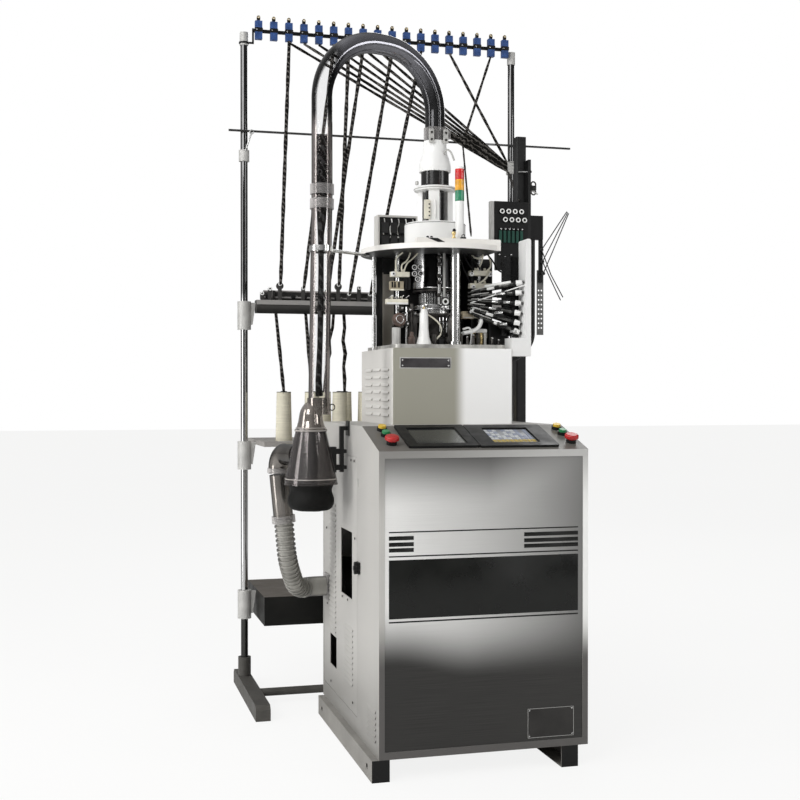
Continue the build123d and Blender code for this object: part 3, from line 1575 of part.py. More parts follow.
tensioner_rail.part.label = "tensioner_rail"
export_step(tensioner_rail.part, "parts/tensioner_rail.step")

# Blue tensioner bodies above and below their clamps
with BuildPart() as tensioners:
    for x in tensioner_xs:
        with BuildSketch(plan(rail_z - 7.5 - 26)):
            with Locations((x, pole_y - 20)):
                Rectangle(tensioner_width, 18)
        extrude(amount=26)
        with BuildSketch(plan(rail_z + 7.5)):
            with Locations((x, pole_y - 20)):
                Rectangle(tensioner_width, 18)
        extrude(amount=24)
tensioners.part.label = "tensioners"
export_step(tensioners.part, "parts/tensioners.step")

# Yarns, each pulled straight from one guide to the next
risers = ((2, 2), (3, 5), (5, 6), (6, 9), (8, 11))
bundle = (2, 3, 4, 5, 6, 7, 8, 13)
clip = (right_pole_x - pole_radius - 10, pole_y - 26, rod_z - 100)
clip_pitch = 4.2
eyelet_y = guide_front - 0.7 - yarn_radius
tensioner_foot = rail_z - 7.5 - 26
riser_top = tensioner_foot - 0.8
bundle_top = tensioner_foot - fine_yarn_radius - fit_gap
riser_front = pole_y - 27
bundle_y = pole_y - 14.5
with BuildPart() as yarns:
    for post_index, tensioner in risers:
        post, height = guide_posts[post_index]
        start = spot(post, eyelet_y, guide_shelf_top + height - 7)
        rod(start, spot(tensioner_xs[tensioner], riser_front, riser_top), yarn_radius)
    for order, tensioner in enumerate(bundle):
        clip_end = spot(clip[0], clip[1], clip[2] + clip_pitch * order)
        start_y = riser_front if tensioner == bundle[-1] else bundle_y
        rod(spot(tensioner_xs[tensioner], start_y, bundle_top), clip_end, fine_yarn_radius)
    # One yarn goes behind the long rod on its way to the machine
    rod_pass = (601, rod_y + rod_radius + fine_yarn_radius + fit_gap, rod_z)
    rod(spot(tensioner_xs[16], bundle_y, riser_top), spot(*rod_pass), fine_yarn_radius)
    for x, y in front_cones[:2] + rear_cones[:2]:
        hole_y = (guide_front + guide_back) / 2
        lean = abs(y - hole_y) / (guide_shelf_top - cone_shelf_top - cone_tall)
        rod(
            spot(x, y, cone_shelf_top + cone_tall + 0.3),
            spot(x, hole_y, guide_shelf_top - 3 - fit_gap - yarn_radius * lean),
            yarn_radius,
        )
yarns.part.label = "yarns"
export_step(yarns.part, "parts/yarns.step")
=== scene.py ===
import math

import bpy
from mathutils import Matrix, Vector


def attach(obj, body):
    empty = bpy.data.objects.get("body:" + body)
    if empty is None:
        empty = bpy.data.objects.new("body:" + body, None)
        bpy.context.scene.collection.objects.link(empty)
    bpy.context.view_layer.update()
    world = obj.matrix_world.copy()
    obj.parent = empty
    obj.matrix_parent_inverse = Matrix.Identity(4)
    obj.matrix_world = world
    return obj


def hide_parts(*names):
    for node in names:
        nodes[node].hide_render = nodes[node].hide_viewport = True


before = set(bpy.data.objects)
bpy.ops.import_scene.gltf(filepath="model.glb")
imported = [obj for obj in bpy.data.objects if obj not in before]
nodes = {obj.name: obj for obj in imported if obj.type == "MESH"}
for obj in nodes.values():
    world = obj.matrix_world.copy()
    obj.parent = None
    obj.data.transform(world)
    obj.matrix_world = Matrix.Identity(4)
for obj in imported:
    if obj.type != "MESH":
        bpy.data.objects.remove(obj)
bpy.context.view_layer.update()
scene = bpy.context.scene

# Sizes below are millimetres from the cabinet's left side, its front and the floor
deckSlope = math.atan2(63, 200)


def at(x, y, z):
    return Vector(((x - 380) / 1000, (y - 665) / 1000, z / 1000))


def onConsole(u, v, w=0):
    return at(
        u,
        v * math.cos(deckSlope) - w * math.sin(deckSlope),
        897 + v * math.sin(deckSlope) + w * math.cos(deckSlope),
    )


# ---- camera
view = {"place": (-1.1772, -3.8545, 1.0609), "turn": (89.57, 0, -15.02), "lens": 54.81}
bpy.ops.object.camera_add(location=view["place"], rotation=[math.radians(angle) for angle in view["turn"]])
camera = bpy.context.object
camera.data.lens = view["lens"]
camera.data.sensor_width = 36
scene.camera = camera
print("camera placed")


# ---- shared effects for the materials
def newGroup(name, inputs, outputs):
    group = bpy.data.node_groups.new(name, "ShaderNodeTree")
    for label, value in inputs.items():
        socket = group.interface.new_socket(label, in_out="INPUT", socket_type="NodeSocketFloat")
        socket.default_value = value
    for label in outputs:
        group.interface.new_socket(label, in_out="OUTPUT", socket_type="NodeSocketFloat")
    return group, group.nodes.new("NodeGroupInput"), group.nodes.new("NodeGroupOutput")


def addNode(tree, kind, **values):
    node = tree.nodes.new(kind)
    for key, value in values.items():
        setattr(node, key, value)
    return node


def addMath(tree, operation, first, second=None, clamp=False):
    node = addNode(tree, "ShaderNodeMath", operation=operation, use_clamp=clamp)
    for socket, value in zip(node.inputs, (first, second)):
        if value is None:
            continue
        if isinstance(value, (int, float)):
            socket.default_value = value
        else:
            tree.links.new(value, socket)
    return node.outputs[0]


def makeCloudy():
    group, source, result = newGroup("cloudyTone", {"Scale": 6.0}, ("Tone", "Grain"))
    place = addNode(group, "ShaderNodeTexCoord")
    for label, times, detail in (("Tone", 1, 4), ("Grain", 60, 2)):
        noise = addNode(group, "ShaderNodeTexNoise")
        noise.inputs["Detail"].default_value = detail
        group.links.new(place.outputs["Object"], noise.inputs["Vector"])
        group.links.new(addMath(group, "MULTIPLY", source.outputs["Scale"], times), noise.inputs["Scale"])
        group.links.new(noise.outputs["Fac"], result.inputs[label])
    return group


def makeBrushing():
    group, source, result = newGroup("brushedLines", {"Across": 900.0, "Along": 12.0}, ("Lines",))
    place = addNode(group, "ShaderNodeTexCoord")
    stretch = addNode(group, "ShaderNodeCombineXYZ")
    for socket, label in zip(stretch.inputs, ("Along", "Along", "Across")):
        group.links.new(source.outputs[label], socket)
    scaled = addNode(group, "ShaderNodeVectorMath", operation="MULTIPLY")
    group.links.new(place.outputs["Object"], scaled.inputs[0])
    group.links.new(stretch.outputs[0], scaled.inputs[1])
    noise = addNode(group, "ShaderNodeTexNoise")
    noise.inputs["Scale"].default_value = 1
    noise.inputs["Detail"].default_value = 3
    group.links.new(scaled.outputs[0], noise.inputs["Vector"])
    group.links.new(noise.outputs["Fac"], result.inputs["Lines"])
    return group


def makeTwist():
    # slanting plies of a yarn, for runs that go roughly upward
    group, source, result = newGroup("twistedPly", {"Pitch": 260.0, "Slant": 500.0}, ("Ply",))
    place = addNode(group, "ShaderNodeTexCoord")
    parts = addNode(group, "ShaderNodeSeparateXYZ")
    group.links.new(place.outputs["Object"], parts.inputs[0])
    noise = addNode(group, "ShaderNodeTexNoise")
    noise.inputs["Scale"].default_value = 70
    group.links.new(place.outputs["Object"], noise.inputs["Vector"])
    turn = addMath(group, "MULTIPLY", parts.outputs[2], source.outputs["Pitch"])
    across = addMath(group, "ADD", parts.outputs[0], addMath(group, "MULTIPLY", parts.outputs[1], 0.6))
    turn = addMath(group, "ADD", turn, addMath(group, "MULTIPLY", across, source.outputs["Slant"]))
    turn = addMath(group, "ADD", turn, addMath(group, "MULTIPLY", noise.outputs["Fac"], 9))
    wave = addMath(group, "SINE", turn)
    group.links.new(addMath(group, "MULTIPLY", addMath(group, "ADD", wave, 1), 0.5), result.inputs["Ply"])
    return group


def makeGrime():
    group, source, result = newGroup("grimeNearFloor", {"Height": 0.25, "Amount": 0.5}, ("Grime",))
    place = addNode(group, "ShaderNodeTexCoord")
    parts = addNode(group, "ShaderNodeSeparateXYZ")
    group.links.new(place.outputs["Object"], parts.inputs[0])
    fade = addMath(group, "DIVIDE", parts.outputs[2], source.outputs["Height"])
    fade = addMath(group, "SUBTRACT", 1, fade, clamp=True)
    noise = addNode(group, "ShaderNodeTexNoise")
    noise.inputs["Scale"].default_value = 23
    noise.inputs["Detail"].default_value = 5
    group.links.new(place.outputs["Object"], noise.inputs["Vector"])
    fade = addMath(group, "MULTIPLY", fade, noise.outputs["Fac"])
    group.links.new(addMath(group, "MULTIPLY", fade, source.outputs["Amount"]), result.inputs["Grime"])
    return group


cloudyTone = makeCloudy()
brushedLines = makeBrushing()
twistedPly = makeTwist()
grimeNearFloor = makeGrime()


def useGroup(tree, group, **values):
    node = addNode(tree, "ShaderNodeGroup", node_tree=group)
    for label, value in values.items():
        node.inputs[label].default_value = value
    return node


def mixColour(tree, factor, first, second):
    node = addNode(tree, "ShaderNodeMix", data_type="RGBA")
    tree.links.new(factor, node.inputs[0])
    for socket, value in ((node.inputs[6], first), (node.inputs[7], second)):
        if isinstance(value, tuple):
            socket.default_value = (*value[:3], 1)
        else:
            tree.links.new(value, socket)
    return node.outputs[2]


def ramp(tree, value, low, high, first=0.0, last=1.0, soft=True):
    node = addNode(tree, "ShaderNodeMapRange", interpolation_type="SMOOTHSTEP" if soft else "LINEAR")
    tree.links.new(value, node.inputs[0])
    for socket, number in zip(node.inputs[1:5], (low, high, first, last)):
        socket.default_value = number
    return node.outputs[0]


def along(tree, axis, kind="Object"):
    place = addNode(tree, "ShaderNodeTexCoord")
    parts = addNode(tree, "ShaderNodeSeparateXYZ")
    tree.links.new(place.outputs[kind], parts.inputs[0])
    return parts.outputs["XYZ".index(axis)]


def within(tree, axis, low, high):
    # 1 between two places along an axis, in metres, and 0 outside them
    value = along(tree, axis)
    above, below = addMath(tree, "GREATER_THAN", value, low), addMath(tree, "LESS_THAN", value, high)
    return addMath(tree, "MULTIPLY", above, below)


def tint(material, factor, colour):
    tree = material.node_tree
    shader = tree.nodes["Principled BSDF"]
    below = shader.inputs["Base Color"].links[0].from_socket
    tree.links.new(mixColour(tree, factor, below, colour), shader.inputs["Base Color"])


def finish(name, colour, rough, metal=0.0, uneven=0.06, scale=6.0, bump=0.03, brushed=0.0, grime=0.0, **plain):
    material = bpy.data.materials.new(name)
    material.use_nodes = True
    tree = material.node_tree
    shader = tree.nodes["Principled BSDF"]
    cloud = useGroup(tree, cloudyTone, Scale=scale)
    darker = tuple(part * (1 - 2 * uneven) for part in colour)
    lighter = tuple(min(1, part * (1 + uneven)) for part in colour)
    colourOut = mixColour(tree, ramp(tree, cloud.outputs["Tone"], 0.3, 0.7), darker, lighter)
    height = cloud.outputs["Grain"]
    if brushed:
        lines = useGroup(tree, brushedLines)
        worn = ramp(tree, lines.outputs["Lines"], 0.3, 0.7, 0, brushed)
        colourOut = mixColour(tree, worn, colourOut, tuple(0.55 * part for part in colour))
        height = lines.outputs["Lines"]
    if grime:
        low = useGroup(tree, grimeNearFloor, Amount=grime)
        colourOut = mixColour(tree, low.outputs["Grime"], colourOut, (0.1, 0.09, 0.08))
    tree.links.new(colourOut, shader.inputs["Base Color"])
    roughOut = ramp(tree, cloud.outputs["Tone"], 0.3, 0.7, rough * 0.85, min(1, rough * 1.15))
    tree.links.new(roughOut, shader.inputs["Roughness"])
    if bump:
        relief = addNode(tree, "ShaderNodeBump")
        relief.inputs["Strength"].default_value = bump
        relief.inputs["Distance"].default_value = 0.001
        tree.links.new(height, relief.inputs["Height"])
        tree.links.new(relief.outputs[0], shader.inputs["Normal"])
    shader.inputs["Metallic"].default_value = metal
    for label, value in plain.items():
        shader.inputs[label.replace("_", " ")].default_value = value
    return material


def outline(tree, low, high, first=0.0, last=1.0):
    # grows from the middle of a wall to where it turns away
    facing = addNode(tree, "ShaderNodeLayerWeight")
    facing.inputs[0].default_value = 0.5
    return ramp(tree, facing.outputs["Facing"], low, high, first, last)


def clearPlastic(name, colour, rough, centre, edge, start=0.3, end=0.93, dirt=0.1, metal=0.0):
    # see-through wall that closes up towards its outline
    material = finish(name, colour, rough, metal, uneven=dirt, scale=9, bump=0.02)
    tree = material.node_tree
    tree.links.new(outline(tree, start, end, centre, edge), tree.nodes["Principled BSDF"].inputs["Alpha"])
    return material


def makeClearPipe():
    # smoky walls below the cuffs, black ones above, and nearly closed over the crown
    material = clearPlastic("clearPipe", (0.3, 0.27, 0.26), 0.06, 0.04, 0.93, 0.12, 0.34, metal=0.7)
    tree = material.node_tree
    alpha = tree.nodes["Principled BSDF"].inputs["Alpha"]
    tint(material, ramp(tree, along(tree, "Z"), 1.83, 1.9), (0.015, 0.015, 0.015))
    crown = ramp(tree, along(tree, "X"), -0.425, -0.385)
    tint(material, crown, (0.2, 0.2, 0.22))
    tint(material, addMath(tree, "MULTIPLY", crown, ramp(tree, along(tree, "Z"), 2.12, 1.98)), (0.04, 0.04, 0.042))
    tint(material, outline(tree, 0.5, 0.75), (0.012, 0.012, 0.012))
    closed = addMath(tree, "MULTIPLY", crown, 0.9)
    tree.links.new(addMath(tree, "MAXIMUM", alpha.links[0].from_socket, closed), alpha)
    return material


def makeSmokedBell():
    # clear bell over the dark filter, brownish at its dome
    material = clearPlastic("smokedBell", (0.22, 0.2, 0.195), 0.09, 0.2, 0.75, 0.25, 0.85, metal=0.85)
    tree = material.node_tree
    alpha = tree.nodes["Principled BSDF"].inputs["Alpha"]
    dome = ramp(tree, along(tree, "Z"), 0.935, 0.96)
    tint(material, dome, (0.33, 0.295, 0.27))
    closed = addMath(tree, "MULTIPLY", dome, 0.55)
    tree.links.new(addMath(tree, "MAXIMUM", alpha.links[0].from_socket, closed), alpha)
    return material


def paintFor(name, tone=0.6, paintedWash=False, border=False):
    # warm light grey with painted shade that darkens it towards the floor
    colour = (tone, tone * 0.975, tone * 0.925)
    material = finish(name, colour, 0.45, uneven=0.03, scale=3, bump=0.05, grime=0.35)
    tree = material.node_tree
    height = along(tree, "Z")
    # painted shade: darker towards the floor
    tint(material, ramp(tree, height, 0.02, 0.42, 0.55, 0), (0.1, 0.095, 0.085))
    front = ramp(tree, along(tree, "Y", "Normal"), -0.8, -0.95)
    if paintedWash:
        # painted light on the front: painted shade darkens the front faces, a painted wash of light whitens their
        # right part
        tint(material, front, (0.36, 0.35, 0.29))
        right = addMath(tree, "MULTIPLY", front, ramp(tree, along(tree, "X"), -0.064, -0.02))
        tint(material, right, (1, 1, 0.99))
    if border:
        # painted reflection on the front faces: painted shade darkens them, a painted highlight lights a band at mid
        # height, brighter to the right
        paintedSheen = addMath(tree, "MULTIPLY", ramp(tree, height, 0.3, 0.46), ramp(tree, height, 0.9, 0.7, 0.35, 1))
        side = ramp(tree, along(tree, "X"), -0.34, 0.2)
        tint(material, front, (0.1, 0.095, 0.09))
        tint(material, addMath(tree, "MULTIPLY", front, paintedSheen), (0.55, 0.54, 0.51))
        right = addMath(tree, "MULTIPLY", addMath(tree, "MULTIPLY", front, side), paintedSheen)
        tint(material, right, (0.95, 0.95, 0.93))
        upward = ramp(tree, along(tree, "Z", "Normal"), 0.85, 0.93)
        sloping = addMath(tree, "MULTIPLY", upward, ramp(tree, along(tree, "Y", "Normal"), -0.15, -0.25))
        tint(material, sloping, (0.14, 0.133, 0.12))
    return material


def grey(level):
    return (level, level, level)


def fade(material, colour, axis, low, high, kind="Object"):
    # from the finish as it is to one colour, between two places along an axis
    tree = material.node_tree
    tint(material, ramp(tree, along(tree, axis, kind), low, high), colour)


def patch(material, colour, **limits):
    # one colour between the limits given for each axis, in metres
    tree = material.node_tree
    inside = 1
    for axis, limit in limits.items():
        inside = addMath(tree, "MULTIPLY", within(tree, axis, *limit), inside)
    tint(material, inside, colour)


off = 9  # metres, beyond every piece: the limit of a patch that stays open on one side

# ---- finishes of the cabinet, the frame and the stand
shellPaint = paintFor("cabinetPaint", 0.46, border=True)
panelPaint = paintFor("panelPaint", 0.5)
headPaint = paintFor("headPaint", 0.64, paintedWash=True)
skidPaint = finish("skidPaint", (0.3, 0.29, 0.27), 0.5, uneven=0.08, scale=10, grime=0.5, Specular_IOR_Level=0.2)
# painted shade: the skids' front faces darkened to near black
fade(skidPaint, grey(0.012), "Y", -0.8, -0.95, "Normal")
darkFrame = finish("darkFrame", (0.014, 0.014, 0.013), 0.5, uneven=0.15, scale=14, grime=0.3, Specular_IOR_Level=0.25)
footPaint = finish("footPaint", (0.075, 0.073, 0.066), 0.5, uneven=0.12, scale=14, grime=0.4, Specular_IOR_Level=0.3)
chrome = finish("chromedTube", grey(0.8), 0.1, metal=1.0, uneven=0.06, scale=20, bump=0.0)
# poles: painted shade darkens the chrome above the guide shelf, dark paint in their sockets, bright chrome between
poleChrome = finish("poleChrome", grey(0.11), 0.06, metal=1.0, uneven=0.06, scale=20, bump=0.0)
fade(poleChrome, grey(0.5), "Z", 1.42, 1.36)
fade(poleChrome, (0.06, 0.06, 0.058), "Z", 0.262, 0.256)
machined = finish("machinedSteel", (0.62, 0.62, 0.61), 0.24, metal=1.0, uneven=0.14, scale=40, bump=0.05)
darkSteel = finish("oiledSteel", (0.06, 0.056, 0.052), 0.32, metal=0.8, uneven=0.3, scale=40, bump=0.08)
whitePaint = finish("whitePaint", (0.9, 0.9, 0.885), 0.35, uneven=0.02, scale=12, bump=0.02)
blackPlastic = finish("blackPlastic", grey(0.009), 0.42, uneven=0.2, scale=30, Specular_IOR_Level=0.25)
blackSteel = finish("blackSteel", grey(0.012), 0.35, metal=0.2, uneven=0.2, scale=20, Specular_IOR_Level=0.3)
blackRubber = finish(
    "blackRubber", (0.006, 0.006, 0.0055), 0.6, uneven=0.25, scale=18, bump=0.12, Specular_IOR_Level=0.15
)
creamPlastic = finish("creamPlastic", (0.88, 0.84, 0.7), 0.35, uneven=0.06, scale=30, bump=0.03)
whitePlastic = finish("whitePlastic", (0.93, 0.93, 0.91), 0.3, uneven=0.03, scale=30, bump=0.02)
lightMetal = finish("lightMetal", (0.5, 0.495, 0.475), 0.45, metal=0.1, uneven=0.06, scale=25, bump=0.05)
tanBlock = finish("tanBlock", (0.42, 0.36, 0.25), 0.45, uneven=0.1, scale=40, bump=0.05)
brownCap = finish("brownCap", (0.11, 0.07, 0.055), 0.4, uneven=0.25, scale=60, bump=0.06)
brass = finish("brassRing", (0.75, 0.58, 0.28), 0.3, metal=1.0, uneven=0.1, scale=60)
blueBody = finish("blueBody", (0.035, 0.08, 0.235), 0.4, uneven=0.15, scale=50, Specular_IOR_Level=0.3)
redCap = finish("redCap", (0.5, 0.02, 0.02), 0.35, uneven=0.1, scale=40)
greenCap = finish("greenCap", (0.03, 0.25, 0.09), 0.35, uneven=0.1, scale=40)
yellowCap = finish("yellowCap", (0.75, 0.5, 0.05), 0.35, uneven=0.1, scale=40)
redLens = finish("redLens", (0.66, 0.02, 0.02), 0.2, uneven=0.15, scale=60, Coat_Weight=0.5)
amberLens = finish("amberLens", (0.86, 0.4, 0.02), 0.2, uneven=0.15, scale=60, Coat_Weight=0.5)
greenLens = finish("greenLens", (0.03, 0.25, 0.13), 0.2, uneven=0.15, scale=60, Coat_Weight=0.5)
coneYarn = finish("coneYarn", (0.74, 0.7, 0.56), 0.85, uneven=0.08, scale=8, brushed=0.5, bump=0.5)
printBlack = finish("printedBlack", (0.007, 0.0075, 0.0065), 0.3, uneven=0.1, scale=15, Specular_IOR_Level=0.3)
clearPipe = makeClearPipe()
frostedBand = clearPlastic("frostedBand", (0.5, 0.48, 0.47), 0.3, 0.22, 0.75, 0.2, 0.7)
smokedBell = makeSmokedBell()
smokedDuct = clearPlastic("smokedDuct", (0.2, 0.185, 0.17), 0.12, 0.75, 0.98, 0.1, 0.5, 0.3, metal=0.75)
tint(smokedDuct, outline(smokedDuct.node_tree, 0.4, 0.7), (0.02, 0.018, 0.016))
ribbedHose = finish("ribbedHose", (0.34, 0.33, 0.3), 0.35, uneven=0.15, scale=12, bump=0.05, Coat_Weight=0.3)
# painted shade: the hose darkens where it turns away
tint(ribbedHose, outline(ribbedHose.node_tree, 0.3, 0.75, 0, 0.85), (0.03, 0.028, 0.025))


def makeYarn(name, dark, light, pitch, slant):
    material = finish(name, dark, 0.85, uneven=0.4, scale=200, bump=0.6)
    tree = material.node_tree
    twist = useGroup(tree, twistedPly, Pitch=pitch, Slant=slant)
    tint(material, ramp(tree, twist.outputs["Ply"], 0.55, 1, 0, 0.9), light)
    tree.nodes["Principled BSDF"].inputs["Specular IOR Level"].default_value = 0.1
    return material


yarnBlack = makeYarn("blackYarn", (0.01, 0.009, 0.008), (0.13, 0.12, 0.11), 330, 200)
sockBlack = makeYarn("sockFabric", grey(0.006), grey(0.06), 160, 260)


def makeMesh():
    # woven wire cloth of the filter
    material = finish("filterCloth", (0.012, 0.011, 0.01), 0.45, uneven=0.4, scale=60, bump=0.1)
    tree = material.node_tree
    place = addNode(tree, "ShaderNodeTexCoord")
    dots = addNode(tree, "ShaderNodeTexVoronoi")
    dots.inputs["Scale"].default_value = 260
    tree.links.new(place.outputs["Object"], dots.inputs["Vector"])
    tint(material, ramp(tree, dots.outputs["Distance"], 0.25, 0.05, 0, 0.4), (0.12, 0.11, 0.1))
    return material


filterCloth = makeMesh()


def makeFrontMetal():
    # satin sheet with a painted reflection that runs from bright at the upper left to dark at the foot
    material = finish("satinFront", (0.03, 0.029, 0.027), 0.36, metal=0.35, uneven=0.05, scale=3, bump=0.02)
    tree = material.node_tree
    x, z = along(tree, "X"), along(tree, "Z")
    wide = ramp(tree, x, -0.34, 0.24, 1, 0.13, soft=False)
    # the painted reflection's bright band sinks from the middle to the right
    sink = addMath(tree, "MAXIMUM", addMath(tree, "SUBTRACT", x, -0.06), 0)
    level = addMath(tree, "SUBTRACT", z, addMath(tree, "MULTIPLY", sink, 0.45))
    top = ramp(tree, level, 0.9, 0.73, 0.12, 1)
    foot = ramp(tree, addMath(tree, "ADD", z, ramp(tree, x, -0.35, -0.1, -0.03, 0.015)), 0.28, 0.45)
    paintedReflection = addMath(tree, "MULTIPLY", addMath(tree, "MULTIPLY", wide, top), foot)
    tint(material, paintedReflection, (0.97, 0.965, 0.94))
    lines = useGroup(tree, brushedLines, Across=700.0, Along=6.0)
    tint(material, ramp(tree, lines.outputs["Lines"], 0.3, 0.7, 0, 0.07), (0.2, 0.19, 0.18))
    return material


satinFront = makeFrontMetal()


def makeScreen():
    # dark glass with a painted slanting reflection at its right
    material = finish("screenGlass", (0.02, 0.022, 0.022), 0.12, uneven=0.05, scale=5, bump=0)
    tree = material.node_tree
    slant = addMath(tree, "ADD", along(tree, "X"), addMath(tree, "MULTIPLY", along(tree, "Y"), -0.5))
    tint(material, ramp(tree, slant, 0.05, 0.2, 0, 0.5), (0.16, 0.165, 0.15))
    return material


screenGlass = makeScreen()

# machined bed, near black above its top, with a lighter wall on the left
bedMetal = finish("bedMetal", (0.5, 0.49, 0.46), 0.35, metal=0.4, uneven=0.2, scale=30, bump=0.06)
patch(bedMetal, grey(0.008), Z=(1.206, off))
patch(bedMetal, (0.42, 0.39, 0.34), X=(-0.256, -0.168), Z=(1.206, 1.44))
plateMetal = paintFor("plateMetal", 0.9)
# painted shade: the plate's downward faces darkened to near black
fade(plateMetal, grey(0.03), "Z", -0.7, -0.95, "Normal")
valveTone = paintFor("valveTone")
patch(valveTone, grey(0.008), X=(-0.2175, -0.0955), Z=(1.5125, 1.6245))
# guide shelf: pale lip along the front, pale thin rods
guideMetal = finish("guideMetal", (0.012, 0.012, 0.011), 0.45, uneven=0.15, scale=20, Specular_IOR_Level=0.25)
fade(guideMetal, (0.05, 0.048, 0.046), "Z", 1.34, 1.366)
patch(guideMetal, (0.3, 0.29, 0.28), Z=(1.367, 1.3845), Y=(-off, 0.4385))
patch(guideMetal, (0.4, 0.38, 0.37), Y=(0.461, 0.4725), Z=(1.3915, 1.4205))
# feeder block: green bars on its face and a grey strip behind
blockTone = finish("feederBlock", grey(0.008), 0.4, uneven=0.2, scale=30, Specular_IOR_Level=0.2)
patch(blockTone, (0.02, 0.075, 0.055), Z=(1.5605, 1.6015), Y=(-off, 0.0255))
patch(blockTone, (0.16, 0.16, 0.155), Z=(1.25, 1.474), Y=(0.0445, off))
tubeMetal = finish("feederMetal", (0.1, 0.1, 0.095), 0.25, metal=0.9, uneven=0.3, scale=60, bump=0.02)
patch(tubeMetal, grey(0.012), Y=(-0.2612, off), X=(0.115, off))
sleeveChrome = finish("sleeveChrome", grey(0.85), 0.2, metal=0.9, uneven=0.05, scale=30, bump=0.0)
# painted reflection: the chrome turns black on its right half
fade(sleeveChrome, grey(0.008), "X", -0.119, -0.111)
coreTone = finish("towerCore", grey(0.012), 0.2, uneven=0.2, scale=30, bump=0.02)
# shelf and tray: lighter brownish tops, the upper shelf lighter
trayMetal = finish("trayMetal", (0.009, 0.009, 0.008), 0.5, uneven=0.15, scale=14, Specular_IOR_Level=0.2)
fade(trayMetal, (0.1, 0.088, 0.074), "Z", 0.9, 0.95, "Normal")
fade(trayMetal, (0.3, 0.285, 0.27), "Z", 0.6, 0.7)
columnChrome = finish("columnChrome", (0.82, 0.82, 0.81), 0.12, metal=1.0, uneven=0.05, scale=20, bump=0)
armSteel = finish("armSteel", grey(0.05), 0.3, metal=0.8, uneven=0.3, scale=60, bump=0.0)

nodeFinish = {
    "base_frame": skidPaint, "cabinet_shell": shellPaint, "front_panel": satinFront, "side_panel": panelPaint,
    "latch_lever": blackSteel, "console_frames": blackPlastic, "display_glass": screenGlass,
    "keypad": blackPlastic, "yellow_button_left": yellowCap, "yellow_button_right": yellowCap,
    "green_button_left": greenCap, "green_button_right": greenCap, "stop_button_left": redCap,
    "stop_button_right": redCap, "head_box": headPaint, "bed_plate": bedMetal, "head_columns": columnChrome,
    "cam_ring": darkSteel, "needle_cylinder": machined, "dial": machined, "dial_sleeve": sleeveChrome,
    "top_plate": plateMetal, "tower_housing": whitePaint, "tower_core": coreTone, "sock_pipe": clearPipe,
    "arch_pipe": clearPipe, "pipe_fittings": frostedBand, "bell_jar": smokedBell, "bell_filter": filterCloth,
    "bell_boot": blackRubber, "side_fittings": blackSteel, "elbow_pipe": smokedDuct, "suction_hose": ribbedHose,
    "fan_housing": darkFrame, "fan_wheel": machined, "drive_motor": darkFrame, "motor_pulley": machined,
    "drive_belt": blackRubber, "light_pole": whitePaint, "light_green": greenLens, "light_amber": amberLens,
    "light_red": redLens, "side_bracket": whitePaint, "valve_block": valveTone, "finger_blocks": creamPlastic,
    "feeder_tubes": tubeMetal, "feeder_post": blackSteel, "feeder_block": blockTone, "take_up_arm_1": armSteel,
    "take_up_arm_2": armSteel, "take_up_arm_3": armSteel, "creel_poles": poleChrome, "creel_base": footPaint,
    "creel_clamps": lightMetal, "guide_shelf": guideMetal, "creel_shelves": trayMetal, "yarn_cones": coneYarn,
    "tensioner_rail": blackPlastic, "tensioners": blueBody, "yarns": yarnBlack,
}
for name, material in nodeFinish.items():
    nodes[name].data.materials.clear()
    nodes[name].data.materials.append(material)
print("frame dressed")


# ---- ways of making pieces
toFront, upright = (0, -1, 0), (0, 0, 1)


def deselect():
    if bpy.context.object and bpy.context.object.mode != "OBJECT":
        bpy.ops.object.mode_set(mode="OBJECT")
    bpy.ops.object.select_all(action="DESELECT")


def settle(material):
    bpy.ops.object.transform_apply(location=True, rotation=True, scale=True)
    piece = bpy.context.object
    piece.data.materials.clear()
    piece.data.materials.append(material)
    return piece


def soften(width, steps=2):
    piece = bpy.context.object
    bevel = piece.modifiers.new("edge", "BEVEL")
    bevel.width = width / 1000
    bevel.segments = steps
    bevel.limit_method = "ANGLE"
    bpy.ops.object.modifier_apply(modifier=bevel.name)
    bpy.ops.object.shade_smooth_by_angle(angle=0.7)


def block(material, x, y, z, edge=0.8):
    deselect()
    low, high = at(x[0], y[0], z[0]), at(x[1], y[1], z[1])
    bpy.ops.mesh.primitive_cube_add(size=1, location=(low + high) / 2)
    bpy.context.object.scale = high - low
    piece = settle(material)
    soften(edge)
    return piece


def bar(material, start, end, radius, sides=16, edge=0.3, tip=None):
    # a round bar from start to end, tapered if its tip has another radius
    deselect()
    line = end - start
    bpy.ops.mesh.primitive_cone_add(
        vertices=sides, radius1=radius / 1000, radius2=(radius if tip is None else tip) / 1000, depth=line.length,
        location=(start + end) / 2, rotation=line.to_track_quat("Z", "Y").to_euler(),
    )
    piece = settle(material)
    soften(min(edge, radius * 0.3))
    return piece


def turned(material, rings, place, direction=(0, 0, 1), sides=28, edge=0.4):
    # rings are heights and radii from the foot up, drawn out of one disc
    deselect()
    height, radius = rings[0]
    bpy.ops.mesh.primitive_circle_add(
        vertices=sides, radius=radius / 1000, fill_type="NGON", location=(0, 0, height / 1000)
    )
    bpy.ops.object.mode_set(mode="EDIT")
    bpy.ops.mesh.select_all(action="SELECT")
    for nextHeight, nextRadius in rings[1:]:
        bpy.ops.mesh.extrude_region_move(TRANSFORM_OT_translate={"value": (0, 0, (nextHeight - height) / 1000)})
        grow = nextRadius / radius
        if abs(grow - 1) > 0.001:
            bpy.ops.transform.resize(value=(grow, grow, 1), center_override=(0, 0, nextHeight / 1000))
        height, radius = nextHeight, nextRadius
    bpy.ops.mesh.select_all(action="SELECT")
    bpy.ops.mesh.remove_doubles(threshold=0.00001)
    bpy.ops.mesh.normals_make_consistent(inside=False)
    bpy.ops.object.mode_set(mode="OBJECT")
    piece = bpy.context.object
    piece.location = place
    piece.rotation_euler = Vector(direction).to_track_quat("Z", "Y").to_euler()
    piece = settle(material)
    soften(edge)
    return piece


